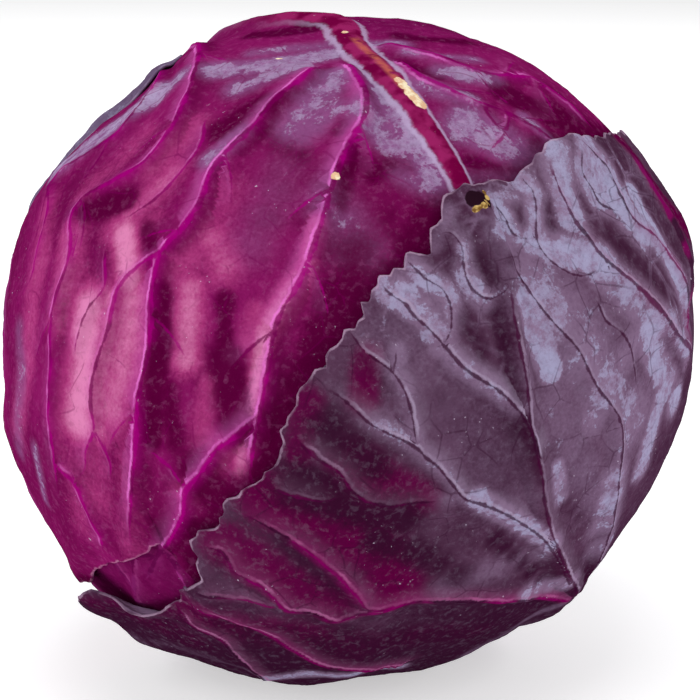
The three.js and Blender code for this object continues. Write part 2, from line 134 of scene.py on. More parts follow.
def smooth(x, low, high):
    """0 below low, 1 above high and a smooth step between. low may be above high."""
    t = np.clip((x - low) / (high - low), 0, 1)
    return t * t * (3 - 2 * t)


def ripple(d, wavelength, seed):
    """Smooth seeded noise over directions, about -1 to 1, with features of a wavelength in mm."""
    count = 16
    rng = np.random.default_rng(seed)
    waves = unit(rng.normal(size=(count, 3))) * (2 * math.pi * HEAD_RADIUS / wavelength)
    waves = waves * rng.uniform(0.7, 1.3, (count, 1))
    return np.sin(d @ waves.T + rng.uniform(0, 2 * math.pi, count)).sum(axis=1) / 5.0


# The head's own form: a ball with broad swellings and hollows, each (x, y, height, spread in degrees)
SWELLINGS = [
    (20, 350, 4.0, 40),
    (690, 270, 3.9, 34),
    (270, 15, 2.2, 20),
    (347, 20, -3.4, 16),
    (110, 90, -2.0, 20),
    (40, 190, 2.6, 14),
    (510, 60, 2.0, 18),
    (560, 610, -2.8, 34),
    (420, 690, -0.2, 26),
    (130, 640, 1.2, 22),
]


def bump(d, centre, spread):
    """1 at a direction, falling off like a bell over a spread in degrees."""
    return np.exp((d @ centre - 1) / (1 - math.cos(math.radians(spread))))


def round_radius(d):
    return HEAD_RADIUS + sum(high * bump(d, seen(x, y), spread) for x, y, high, spread in SWELLINGS)


REST_DISTANCE = round_radius(DOWN) - PRESSED_IN
HEAD_CENTRE = np.array([0.3, 1.4, REST_DISTANCE + REST_LAYER])


def heart_radius(d):
    """Radius of the heart, whose resting side is pressed flat and rounded over into the rest."""
    blend = 1.5
    whole = round_radius(d)
    flat = REST_DISTANCE / np.maximum(d @ DOWN, 0.5)
    share = np.clip(0.5 + (flat - whole) / (2 * blend), 0, 1)
    pressed = flat * (1 - share) + whole * share - blend * share * (1 - share)
    return np.where(d @ DOWN < 0.5, whole, pressed)


def line_through(points):
    """A smooth line through directions, with a point every SAMPLE mm."""
    p = np.array([2 * points[0] - points[1], *points, 2 * points[-1] - points[-2]])
    out = []
    for a, b, c, d in zip(p, p[1:], p[2:], p[3:]):
        count = max(2, int(np.linalg.norm(c - b) * HEAD_RADIUS / SAMPLE))
        t = np.linspace(0, 1, count, endpoint=False)[:, None]
        tangent_b, tangent_c = _tangent(a, b, c), _tangent(b, c, d)
        length = np.linalg.norm(c - b)
        out.append(
            (2 * t**3 - 3 * t**2 + 1) * b + (t**3 - 2 * t**2 + t) * tangent_b * length
            + (3 * t**2 - 2 * t**3) * c + (t**3 - t**2) * tangent_c * length
        )
    out.append(p[-2:-1])
    return unit(np.concatenate(out))


def _tangent(a, b, c):
    before, after = np.linalg.norm(b - a), np.linalg.norm(c - b)
    t = (b - a) / before * after + (c - b) / after * before
    return t / (before + after)


def nearest_on(line, d, light=NEARER):
    """Each direction's distance and signed distance from a line in mm, its share of the way along the
    line, and how far the line's near flank faces a light, from -1 to 1."""
    at_once = 20000
    ends = len(line) - 1
    off, side, along, lit = (np.empty(len(d)) for _ in range(4))
    k = np.arange(len(line))
    ahead = unit(line[np.minimum(k + 1, ends)] - line[np.maximum(k - 1, 0)])
    for start in range(0, len(d), at_once):
        part = slice(start, start + at_once)
        chunk = d[part]
        k = np.argmax(chunk @ line.T, axis=1)
        away = chunk - line[k]
        forward = np.einsum("ij,ij->i", away, ahead[k])
        past = ((k == 0) & (forward < 0)) | ((k == ends) & (forward > 0))
        across = away - np.where(past, 0, forward)[:, None] * ahead[k]
        far = np.linalg.norm(across, axis=1)
        turn = np.einsum("ij,ij->i", np.cross(line[k], ahead[k]), away)
        off[part] = far * HEAD_RADIUS
        side[part] = np.where(turn < 0, -off[part], off[part])
        along[part] = k / ends
        lit[part] = across @ light / np.maximum(far, 1e-5)
    return off, side, along, lit


class Vein:
    """A raised line on a blade. high and skirt shape its tent-like ridge, half and pink are the half
    width and the colour of the line on its crest, and from_rib is where it leaves the midrib, if it
    starts there, in mm along it."""

    def __init__(self, points, high, skirt, half, pink, from_rib=None):
        self.points, self.high, self.skirt, self.half, self.pink = points, high, skirt, half, pink
        self.from_rib = from_rib

    def place(self, leaf):
        start = [] if self.from_rib is None else [leaf.on_rib(self.from_rib)]
        self.line = line_through([*start, *self.points])
        return self


def grown(leaf, from_rib, side, high=1.6, skirt=7.0, half=0.45, pink=0.2, angle=52, bend=0.05):
    """A side vein that leaves the midrib at an angle and bends along the blade, to near its margin or
    to where the leaf's seen veins begin."""
    step, longest, to_margin = 5, 150, 4
    at = leaf.on_rib(from_rib)
    heading = turned(unit(leaf.on_rib(from_rib + 6) - at), at, side * math.radians(angle))
    points = [at]
    while len(points) * step < longest:
        at = unit(at + heading * (step / HEAD_RADIUS))
        turn = bend + 0.07 * math.sin(len(points) * 0.9 + from_rib)
        heading = turned(heading, at, -side * turn)
        heading = unit(heading - at * (heading @ at))
        at_end = leaf.inside_by(at[None])[0] < to_margin or at @ NEARER > leaf.drawn_from
        if len(points) > 2 and at_end:
            break
        points.append(at)
    return Vein(points, high, skirt, half, pink).place(leaf)


def all_grown(leaf, starts, **shape):
    """The side veins that leave the midrib at these distances, the negative ones on its other side."""
    return [grown(leaf, abs(mm), math.copysign(1, mm), **shape) for mm in starts]


def forked(leaf, vein, share, side, length):
    """A branch that leaves a vein at a share of its length and bends back to run beside it."""
    step, to_margin, fewest = 3, 3, 3
    k = int(share * (len(vein.line) - 6))
    at = vein.line[k]
    heading = turned(unit(vein.line[k + 5] - at), at, side * math.radians(48))
    points = [at]
    while len(points) * step < length:
        at = unit(at + heading * (step / HEAD_RADIUS))
        heading = turned(heading, at, -side * 0.09)
        heading = unit(heading - at * (heading @ at))
        if leaf.inside_by(at[None])[0] < to_margin:
            break
        points.append(at)
    if len(points) < fewest:
        return None
    return Vein(points, vein.high * 0.45, 4.5, vein.half * 0.65, vein.pink * 0.8).place(leaf)


def turned(v, axis, angle):
    """v turned about an axis by an angle in radians."""
    return (v * math.cos(angle) + np.cross(axis, v) * math.sin(angle)
            + axis * (axis @ v) * (1 - math.cos(angle)))


class Leaf:
    """One wrapper leaf: its outline about a centre, its midrib and veins, and how it stands off what it
    covers. The midrib's width and height are given at the stem and at its tip. ajar is how far the
    margin stands off, teeth is the size of its teeth, squares is the share of FINE that the leaf is made
    with, light is the side its veins are lit from, and drawn_from is how far towards the photograph's
    viewer grown veins may come."""

    def __init__(self, name, centre, margin, rib, rib_width, rib_height, seed, ajar, teeth, squares,
                 light=NEARER, drawn_from=2.0):
        self.name, self.centre, self.seed = name, centre, seed
        self.light, self.drawn_from = light, drawn_from
        self.rib_width, self.rib_height = rib_width, rib_height
        self.ajar, self.teeth, self.squares = ajar, teeth, squares
        self.to_stem = unit(STEM - centre * (STEM @ centre))
        self.side = np.cross(centre, self.to_stem)
        bearing, arc = self.polar(np.array(margin))
        order = np.argsort(bearing)
        self.edge_bearing, self.edge_arc = bearing[order], arc[order]
        rng = np.random.default_rng(int(seed * 10))
        self.tooth_wave = [rng.uniform(-1, 1, n) for n in (60, 130, 260)]
        self.rib = line_through(rib)
        self.veins, self.curls, self.outer = [], [], []

    def polar(self, d):
        turn = np.arctan2(d @ self.side, d @ self.to_stem) % (2 * math.pi)
        return turn, np.arccos(np.clip(d @ self.centre, -1, 1))

    def direction(self, bearing, arc):
        across = np.cos(bearing)[:, None] * self.to_stem + np.sin(bearing)[:, None] * self.side
        return np.cos(arc)[:, None] * self.centre + np.sin(arc)[:, None] * across

    def reach(self, bearing):
        """Arc from the centre to the margin, with the small teeth of a torn and wavy edge."""
        arc = np.interp(bearing, self.edge_bearing, self.edge_arc, period=2 * math.pi)
        teeth = 0
        for wave, size in zip(self.tooth_wave, (1.0, 0.9, 1.1)):
            at = bearing / (2 * math.pi) * len(wave)
            k = np.floor(at).astype(int)
            part = at - k
            teeth = teeth + size * (wave[k % len(wave)] * (1 - part) + wave[(k + 1) % len(wave)] * part)
        at_base = smooth(np.cos(bearing), 0.8, 0.97)
        return arc + self.teeth * teeth * (1 - at_base) / HEAD_RADIUS

    def inside_by(self, d):
        bearing, arc = self.polar(d)
        return (self.reach(bearing) - arc) * HEAD_RADIUS

    def on_rib(self, mm):
        return self.rib[min(int(mm / SAMPLE), len(self.rib) - 1)]

    def freedom(self, d):
        """1 where nothing lies on this leaf, less where an outer one presses on it."""
        free = np.ones(len(d))
        for leaf in self.outer:
            free *= 1 - 0.8 * smooth(leaf.inside_by(d), 2, 14)
        return free

    def ribbing(self, d):
        """Height of the midrib and veins over the blade, and the marks that the colouring needs."""
        off, side, along, _ = nearest_on(self.rib, d)
        taper = along**RIB_TAPER
        half = (self.rib_width[0] * (1 - taper) + self.rib_width[1] * taper) / 2
        high = self.rib_height[0] * (1 - taper) + self.rib_height[1] * taper
        out = high * (1 - smooth(off, half * 0.3, half * 2.2))
        marks = {"rib_side": side / half, "rib_along": along}
        vein_off = np.full(len(d), 60.0)
        vein_side = np.full(len(d), 60.0)
        vein_half = np.full(len(d), 0.4)
        vein_pink, vein_lit, vein_size = (np.zeros(len(d)) for _ in range(3))
        for vein in self.veins:
            middle = unit(vein.line.mean(axis=0))
            within = (vein.line @ middle).min()
            reach = math.acos(min(within, 1.0)) + WIDEST_SKIRT / HEAD_RADIUS
            near = np.nonzero(d @ middle > math.cos(reach))[0]
            if not len(near):
                continue
            off, side, along, lit = nearest_on(vein.line, d[near], self.light)
            from_start = along * len(vein.line) * SAMPLE
            fade = (1 - 0.5 * along) * smooth(from_start, -2, 3) * (1 - 0.9 * smooth(along, 0.85, 1))
            skirt = vein.skirt * (1 + 0.6 * lit * smooth(off, 0, 2))
            tent = np.clip(1 - np.sqrt(off**2 + 0.09) / skirt, 0, 1) ** 1.5
            crest = 0.28 * np.exp(-((off / (vein.half * 1.5)) ** 2))
            crest = crest * fade * (vein.half > 0.3)
            out[near] = np.maximum(out[near], vein.high * fade * tent) + crest
            pick = off < vein_off[near]
            closer = near[pick]
            vein_off[closer] = off[pick]
            vein_side[closer] = side[pick]
            wander = 1 + 0.35 * np.sin(from_start * 0.55 + vein.high * 9) * np.sin(from_start * 0.23)
            vein_half[closer] = (vein.half * (0.25 + 0.75 * fade) * wander)[pick]
            vein_pink[closer] = vein.pink
            vein_lit[closer] = lit[pick]
            vein_size[closer] = (min(vein.high / 2, 1) * fade)[pick]
        marks.update(vein_off=vein_off, vein_side=vein_side, vein_half=vein_half)
        marks.update(vein_pink=vein_pink, vein_lit=vein_lit, vein_size=vein_size)
        return out, marks

    def lift(self, d, inside):
        """How far the blade stands off what it lies on: near its margin, and more where it curls."""
        bearing, _ = self.polar(d)
        uneven = 1 + 0.5 * np.sin(bearing * 9 + self.seed)
        out = self.ajar * (1 - smooth(inside, 0, LIFTED_BAND)) * uneven
        for curl in self.curls:
            out = out + curl(self, d, inside, bearing)
        return out * self.freedom(d)

    def load(self, d):
        """What this leaf adds to the height of the leaves over it."""
        inside = self.inside_by(d)
        out = np.zeros(len(d))
        near = inside > -DRAPE_BAND
        at = d[near]
        ribs, _ = self.ribbing(at)
        held = kept(ribs, self.freedom(at)) + self.lift(at, np.maximum(inside[near], 0))
        out[near] = smooth(inside[near], -DRAPE_BAND, 0) * (LEAF_THICKNESS + LAYER_GAP + held)
        return out


def kept(ribs, free):
    """What is left of the height of ribs where outer leaves press on them."""
    return ribs * (HELD_FLAT + (1 - HELD_FLAT) * free)


def curled(x, y, high, spread, depth):
    """A part of the margin, by pixel, that stands off by a height and settles over a depth inwards."""
    def at(leaf, d, inside, bearing):
        return high * bump(d, on_leaves(x, y), spread) * (1 - smooth(inside, 0, depth))
    return at


def ruffled(x, y, high, spread, depth, wavelength):
    """A part of the margin that waves in and out along its length."""
    curl = curled(x, y, high, spread, depth)

    def at(leaf, d, inside, bearing):
        turns = bearing * HEAD_RADIUS / wavelength * 2 * math.pi
        return curl(leaf, d, inside, bearing) * (0.5 + 0.5 * np.sin(turns))
    return at


inner_left = Leaf(
    "leaf_inner_left",
    centre=behind(126, 82),
    margin=hidden(
        (104, 13), (116, 13), (128, 13), (140, 13), (144, 22), (146, 45), (146, 75), (146, 105),
        (140, 126), (126, 136), (108, 128), (92, 112), (84, 85), (86, 55), (94, 32), (98, 20),
    ),
    rib=hidden((128, 12.6), (128, 40), (127, 80), (126, 118), (126, 134)),
    rib_width=(20, 2), rib_height=(4.5, 0.6), seed=1.7, ajar=0.3, teeth=0.8, squares=0.5,
)

top = Leaf(
    "leaf_top",
    centre=seen(130, 100),
    margin=[
        *hidden(
            (24, 13), (8, 13), (-8, 13), (-24, 13), (-36, 20), (-50, 36), (-66, 60), (-78, 90),
            (-84, 112),
        ),
        *pixels(
            (690, 245), (640, 310), (560, 352), (470, 392), (395, 450), (315, 540), (250, 606),
            (205, 585), (185, 562), (165, 542), (158, 541), (150, 548), (140, 552), (125, 555),
            (108, 563), (96, 568),
        ),
        *hidden((110, 73), (108, 63), (102, 55), (90, 48), (76, 41), (56, 30), (36, 19)),
    ],
    rib=[
        *hidden((0, 12.6), (0, 45), (0, 85), (0, 110)),
        *pixels(
            (335, 19), (352, 38), (378, 64), (400, 88), (420, 112), (440, 142), (455, 165), (467, 190),
            (500, 262), (530, 320),
        ),
    ],
    rib_width=(26, 2.2), rib_height=(5.5, 1.3), seed=4.1, ajar=0.5, teeth=0.35, squares=1,
    light=unit(-0.85 * RIGHT + 0.35 * UPWARD + 0.2 * NEARER), drawn_from=-0.05,
)

front = Leaf(
    "leaf_front",
    centre=seen(575, 560),
    margin=[
        *pixels(
            (622, 138), (602, 136), (591, 137), (582, 144), (568, 144), (550, 147), (545, 153),
            (535, 161), (530, 172), (520, 178), (514, 185), (499, 184), (487, 186), (471, 194),
            (451, 201), (445, 210), (438, 220), (433, 235), (430, 249), (426, 255), (419, 257),
            (408, 257), (401, 266), (391, 272), (378, 280), (372, 290), (368, 303), (362, 304),
            (363, 317), (359, 318), (345, 326), (333, 350), (308, 383), (298, 408), (290, 428),
            (287, 443), (268, 472), (250, 491), (230, 503), (228, 514), (203, 531), (197, 537),
            (201, 549), (205, 571), (190, 582), (185, 591), (167, 607), (156, 609), (143, 607),
            (97, 581), (90, 588),
        ),
        *hidden(
            (119, 62), (126, 52), (140, 38), (156, 25), (168, 16.5), (176, 13), (192, 13), (207, 13),
            (222, 13), (232, 20), (246, 34), (262, 54), (276, 80), (286, 104),
        ),
    ],
    rib=[
        *hidden((199, 12.6), (199, 40), (199, 70)),
        *pixels(
            (574, 598), (564, 564), (552, 533), (546, 506), (540, 466), (533, 439), (526, 404),
            (522, 377), (517, 350), (511, 312), (506, 288), (504, 262), (493, 234), (478, 212),
        ),
    ],
    rib_width=(26, 2.4), rib_height=(5.5, 1.6), seed=2.3, ajar=0.9, teeth=0.8, squares=1,
    light=unit(0.75 * RIGHT + 0.55 * UPWARD + 0.2 * NEARER), drawn_from=-0.05,
)

back_left = Leaf(
    "leaf_back_left",
    centre=behind(54, 44),
    margin=hidden(
        (30, 13), (46, 13), (61, 13), (76, 13), (92, 13), (106, 20), (114, 30), (112, 40), (104, 46),
        (92, 49), (74, 53), (60, 57), (51, 62), (43, 69), (36, 79), (30, 90), (24, 97), (17, 100),
        (12, 97), (9, 84), (10, 66), (12, 46), (15, 30), (20, 20),
    ),
    rib=hidden((61, 12.6), (57, 30), (48, 48), (36, 66), (27, 80)),
    rib_width=(24, 3), rib_height=(5, 1), seed=5.6, ajar=0.1, teeth=0.8, squares=0.66,
)

back_right = Leaf(
    "leaf_back_right",
    centre=behind(-74, 62),
    margin=hidden(
        (-104, 13), (-90, 13), (-75, 13), (-60, 13), (-46, 13), (-34, 20), (-18, 34), (-8, 54),
        (-14, 76), (-30, 94), (-50, 104), (-72, 108), (-94, 102), (-116, 88), (-132, 66), (-138, 46),
        (-130, 30), (-118, 20),
    ),
    rib=hidden((-76, 12.6), (-76, 45), (-74, 75), (-72, 104)),
    rib_width=(26, 2.5), rib_height=(5.5, 0.8), seed=3.4, ajar=0.8, teeth=0.8, squares=0.66,
)


def placed(leaf, *veins):
    return [vein.place(leaf) for vein in veins]


top.veins = placed(
    top,
    # left of the midrib
    Vein(pixels((345, 60), (355, 75), (366, 95), (366, 112), (352, 138), (343, 155), (335, 175),
                (328, 200), (320, 225), (312, 250), (300, 279), (284, 307), (274, 330), (270, 357),
                (265, 384), (260, 415), (255, 441), (249, 485)),
        high=2.3, skirt=9, half=0.58, pink=0.9),
    Vein(pixels((260, 415), (239, 434), (220, 447), (203, 470), (188, 489), (185, 512), (176, 531),
                (166, 548), (143, 580)), high=1.3, skirt=7, half=0.45, pink=0.9),
    Vein(pixels((155, 453), (172, 466), (184, 483)), high=0.8, skirt=4, half=0.4, pink=0.6),
    Vein(pixels((319, 64), (297, 83), (275, 100), (252, 125), (225, 152), (208, 176), (201, 201),
                (185, 225), (170, 241), (158, 263), (152, 288), (148, 317), (147, 350), (143, 375),
                (140, 430), (137, 490), (136, 545)), high=2.5, skirt=9, half=0.62, pink=0.8),
    Vein(pixels((196, 71), (192, 83), (183, 103), (172, 125), (156, 145), (138, 163), (116, 176),
                (96, 188), (80, 199), (71, 214), (69, 239), (67, 259), (58, 288), (51, 312), (48, 350),
                (49, 370), (53, 420), (56, 450), (62, 500)),
        high=2.5, skirt=9, half=0.58, pink=0.8, from_rib=84),
    Vein(pixels((136, 107), (120, 127), (98, 143), (74, 158), (56, 170), (47, 183), (45, 201),
                (40, 223), (31, 252), (25, 277), (13, 301)),
        high=2.2, skirt=8, half=0.5, pink=0.8, from_rib=66),
    # behind the left limb
    Vein(hidden((24, 72), (42, 73), (58, 68), (74, 62), (90, 58), (104, 57), (118, 61)),
        high=1.8, skirt=8, half=0.5, pink=0.7, from_rib=54),
    # thin ones between them
    Vein(pixels((201, 116), (199, 134), (190, 154), (174, 172), (156, 190), (134, 208), (112, 217)),
        high=0.7, skirt=4, half=0.35, pink=0.6),
    Vein(pixels((99, 250), (100, 284), (84, 307), (76, 330), (67, 361)),
        high=0.7, skirt=4, half=0.35, pink=0.6),
    Vein(pixels((164, 252), (134, 267), (113, 290), (109, 305), (104, 326), (98, 349), (93, 374),
                (92, 403), (94, 430), (86, 451), (84, 468), (78, 481)),
        high=0.9, skirt=5, half=0.45, pink=0.7),
    Vein(pixels((94, 430), (105, 449), (111, 464), (112, 483)), high=0.6, skirt=4, half=0.35, pink=0.5),
    Vein(pixels((59, 464), (77, 481), (86, 500), (96, 518), (104, 533), (105, 550)),
        high=1.2, skirt=6, half=0.5, pink=0.7),
    # right of the midrib
    Vein(pixels((377, 41), (402, 43), (428, 50), (458, 60), (489, 68), (517, 71), (535, 73), (555, 87),
                (581, 110), (601, 130)), high=1.8, skirt=8, half=0.5, pink=0.7),
    Vein(pixels((397, 57), (415, 71), (443, 84), (473, 97), (504, 107), (524, 117), (545, 130),
                (563, 144), (600, 190)), high=1.7, skirt=7, half=0.45, pink=0.7),
    Vein(pixels((512, 112), (508, 130), (499, 140), (489, 150)),
        high=0.6, skirt=4, half=0.35, pink=0.5),
)
top.veins += all_grown(top, (30, 55, -34, -58))

# What the front leaf's veins over its dark side have in common
MAIN_DARK = dict(skirt=8, half=0.32, pink=0.05)
THIN_DARK = dict(half=0.2, pink=0.05)

seen_rib = front.rib[int(len(front.rib) * 0.42):int(len(front.rib) * 0.97):8]
front.veins = placed(
    front,
    Vein(seen_rib, high=1.2, skirt=6, half=0.42, pink=0.12),
    # left of the midrib
    Vein(pixels((569, 584), (555, 555), (544, 540), (529, 529), (506, 515), (484, 506), (466, 500),
                (450, 482), (437, 466), (426, 457), (415, 446), (390, 433), (372, 424), (350, 404),
                (335, 392), (315, 385)), high=1.9, **MAIN_DARK),
    Vein(pixels((415, 439), (410, 410), (404, 390), (392, 372), (372, 357), (363, 350), (352, 335),
                (345, 328)), high=1.1, skirt=6, **THIN_DARK),
    Vein(pixels((392, 372), (395, 361), (396, 350)), high=0.5, skirt=4, **THIN_DARK),
    Vein(pixels((540, 457), (533, 437), (524, 419), (511, 404), (493, 388), (475, 377), (457, 363),
                (446, 350), (424, 326), (414, 318), (404, 305), (389, 294), (378, 280)),
        high=1.9, **MAIN_DARK),
    Vein(pixels((506, 286), (504, 290), (488, 299), (470, 288), (462, 268), (459, 248), (446, 234),
                (435, 237)), high=1.1, skirt=6, **THIN_DARK),
    Vein(pixels((410, 265), (423, 279), (441, 290), (448, 301), (451, 317), (448, 335), (440, 347)),
        high=0.9, skirt=5, **THIN_DARK),
    # along the lower left
    Vein(pixels((572, 603), (545, 600), (510, 603), (450, 603), (399, 605), (366, 604), (359, 595),
                (345, 579), (332, 564), (320, 552), (307, 541), (284, 528), (257, 514), (232, 505)),
        high=2.0, skirt=8, half=0.4, pink=1.0),
    Vein(pixels((389, 609), (360, 611), (334, 616), (313, 608), (288, 602), (280, 593), (265, 577),
                (240, 564), (225, 545), (198, 540)), high=1.3, skirt=6, half=0.34, pink=0.9),
    Vein(pixels((408, 669), (360, 666), (334, 663), (315, 658), (295, 648), (276, 637), (257, 627),
                (240, 616), (213, 606), (186, 595)), high=1.5, skirt=7, half=0.34, pink=0.9),
    Vein(pixels((272, 677), (251, 663), (234, 650), (217, 633), (198, 623), (177, 602)),
        high=1.5, skirt=7, half=0.34, pink=0.8),
    Vein(pixels((303, 441), (322, 457), (341, 470), (351, 485), (360, 493), (380, 501), (404, 505),
                (450, 504)), high=0.7, skirt=5, half=0.35, pink=0.35),
    Vein(pixels((276, 484), (303, 493), (322, 497), (341, 493)),
        high=0.6, skirt=4, half=0.3, pink=0.35),
    Vein(pixels((207, 581), (230, 587), (250, 589), (265, 596), (282, 602)),
        high=0.8, skirt=5, half=0.35, pink=0.8),
    # right of the midrib
    Vein(pixels((578, 596), (604, 551), (613, 529), (620, 502), (623, 475), (626, 446), (625, 426),
                (616, 408), (602, 390), (589, 372), (575, 350), (545, 315), (520, 281), (504, 248),
                (493, 234)), high=1.8, **MAIN_DARK),
    Vein(pixels((692, 365), (690, 350), (680, 338), (663, 319), (640, 296), (613, 272), (595, 254),
                (585, 237), (573, 222), (561, 201), (551, 185), (540, 165)),
        high=1.9, skirt=8, half=0.55, pink=0.3),
    Vein(pixels((690, 330), (687, 315), (680, 283), (669, 263), (652, 240), (631, 220), (619, 197),
                (612, 185), (602, 170), (585, 158), (568, 146)),
        high=1.7, skirt=7, half=0.34, pink=0.8),
    Vein(pixels((694, 300), (691, 290), (684, 254), (669, 222), (650, 190), (624, 150)),
        high=1.6, skirt=7, half=1.7, pink=1.0),
    Vein(pixels((618, 210), (602, 203), (592, 189), (578, 175), (571, 153)),
        high=0.6, skirt=4, **THIN_DARK),
    Vein(pixels((521, 184), (532, 201), (535, 220), (537, 239), (549, 258), (564, 270), (580, 276),
                (602, 268)), high=0.7, skirt=4, **THIN_DARK),
    Vein(pixels((494, 208), (504, 220), (511, 232), (520, 237), (533, 239)),
        high=0.6, skirt=4, **THIN_DARK),
    Vein(pixels((595, 301), (602, 318), (619, 332), (635, 349), (642, 368), (645, 390)),
        high=0.7, skirt=4, **THIN_DARK),
)
front.veins += all_grown(front, (28, 52, -26, -44))
front.veins += all_grown(front, (-58, -72), high=2, skirt=8, half=0.35, angle=84, bend=0)

inner_left.veins = placed(
    inner_left,
    Vein(pixels((166, 530), (160, 548), (150, 570), (143, 583)), high=1.2, skirt=6, half=0.6, pink=0.9),
)
inner_left.veins += all_grown(inner_left, (45, 75, 105, -50, -80, -110))

OLD_VEIN = dict(high=2.2, skirt=9, half=0.4, pink=0.05)
back_left.veins = all_grown(back_left, (18, 34, 50, -24, -42, -58), **OLD_VEIN)
back_right.veins = all_grown(back_right, (20, 38, 58, 80, -26, -46, -68, -90), **OLD_VEIN)

for leaf in (inner_left, back_left, back_right):
    for vein in list(leaf.veins):
        branches = [forked(leaf, vein, share, side, 20) for share, side in ((0.35, 1), (0.6, -1))]
        leaf.veins += [branch for branch in branches if branch]

main_veins = [vein for vein in top.veins if vein.high >= 1.6]
for k, vein in enumerate(main_veins):
    for share, side in ((0.24, 1), (0.4, -1), (0.56, 1), (0.72, -1)):
        fork = forked(top, vein, share + 0.03 * (k % 4), side, 15)
        if fork:
            fork.high, fork.half = 0.5, 0.16
            top.veins.append(fork)

top.curls = [curled(125, 553, 1.2, 5, 8)]
back_left.curls = [curled(120, 105, -0.9, 30, 9)]
front.curls = [
    curled(96, 588, 0.8, 7, 22),
    curled(125, 620, 1.6, 11, 36),
    curled(150, 606, 1.6, 5, 10),
    ruffled(120, 606, 0.8, 10, 14, 9),
    curled(545, 158, 2.6, 10, 14),
    curled(330, 350, 1.6, 12, 14),
]

LEAVES = [inner_left, top, front, back_left, back_right]
for k, leaf in enumerate(LEAVES):
    leaf.outer = LEAVES[k + 1:]


def rim_of(leaf, n):
    """The margin as the four sides of a square grid: n steps to a side, equally long within it."""
    out = []
    for corner in (1.25, 1.75, 0.25, 0.75):
        bearing = math.pi * (corner + 0.5 * np.linspace(0, 1, 8 * n + 1)) % (2 * math.pi)
        at = leaf.direction(bearing, leaf.reach(bearing))
        along = np.concatenate([[0], np.cumsum(np.linalg.norm(np.diff(at, axis=0), axis=1))])
        want = np.linspace(0, along[-1], n, endpoint=False)
        out.append(np.stack([np.interp(want, along, at[:, axis]) for axis in range(3)], axis=1))
    return unit(np.concatenate(out))


def rim_places(n):
    """Grid rows and columns of the rim's points, in the rim's order."""
    k = np.arange(n)
    rows = np.concatenate([0 * k, k, 0 * k + n, n - k])
    columns = np.concatenate([k, 0 * k + n, n - k, 0 * k])
    return rows, columns


def grid_over(leaf, n):
    """Directions of a square grid wrapped onto the blade, evened out inside its rim."""
    rows, columns = rim_places(n)
    rim = rim_of(leaf, n)
    grid = np.empty((n + 1, n + 1, 3))
    grid[:] = leaf.centre
    grid[rows, columns] = rim
    for ring in range(1, n // 2):
        share = 1 - 2 * ring / n
        inner = n - 2 * ring
        r, c = rim_places(inner)
        at = np.arange(4 * inner) * n / inner
        k = np.floor(at).astype(int)
        part = (at - k)[:, None]
        edge = rim[k % (4 * n)] * (1 - part) + rim[(k + 1) % (4 * n)] * part
        grid[r + ring, c + ring] = unit(leaf.centre * (1 - share) + edge * share)
    for _ in range(4):
        grid[1:-1, 1:-1] = unit(grid[:-2, 1:-1] + grid[2:, 1:-1] + grid[1:-1, :-2] + grid[1:-1, 2:])
    return grid


def neighbours(height):
    """A grid's values, and for each the ones above, below, before and after it."""
    p = np.pad(height, 1, mode="edge")
    return p[1:-1, 1:-1], p[:-2, 1:-1], p[2:, 1:-1], p[1:-1, :-2], p[1:-1, 2:]


def spread_out(height, times):
    """The greatest value within so many grid steps, then smoothed over nearly as many."""
    for _ in range(times):
        height = np.max(neighbours(height), axis=0)
    for _ in range(times * times // 2):
        same, above, below, before, after = neighbours(height)
        same, above, below, before, after = neighbours((before + 2 * same + after) / 4)
        height = (above + 2 * same + below) / 4
    return height


def veinlets(d, seed):
    """Distance and signed distance in mm from each direction to the nearest line of a net of
    veinlets."""
    at_once = 8000
    rng = np.random.default_rng(seed)
    count = int(4 * math.pi * (HEAD_RADIUS / NET_SPACING) ** 2)
    knots = unit(rng.normal(size=(count, 3)))
    off, side = np.empty(len(d)), np.empty(len(d))
    for start in range(0, len(d), at_once):
        part = slice(start, start + at_once)
        chunk = d[part]
        near = chunk @ knots.T
        first = np.argmax(near, axis=1)
        here = np.arange(len(chunk))
        best = near[here, first].copy()
        near[here, first] = -2
        second = np.argmax(near, axis=1)
        apart = np.linalg.norm(knots[first] - knots[second], axis=1)
        off[part] = (best - near[here, second]) / apart * HEAD_RADIUS
        side[part] = np.where(first < second, off[part], -off[part])
    return off, side


def net_of(d, leaf):
    """The veinlet net, bent so that its lines aren't straight."""
    bend = np.stack([ripple(d, 9, 40 + k) for k in range(3)], axis=1)
    return veinlets(unit(d + bend * NET_BEND / HEAD_RADIUS), int(leaf.seed * 7))


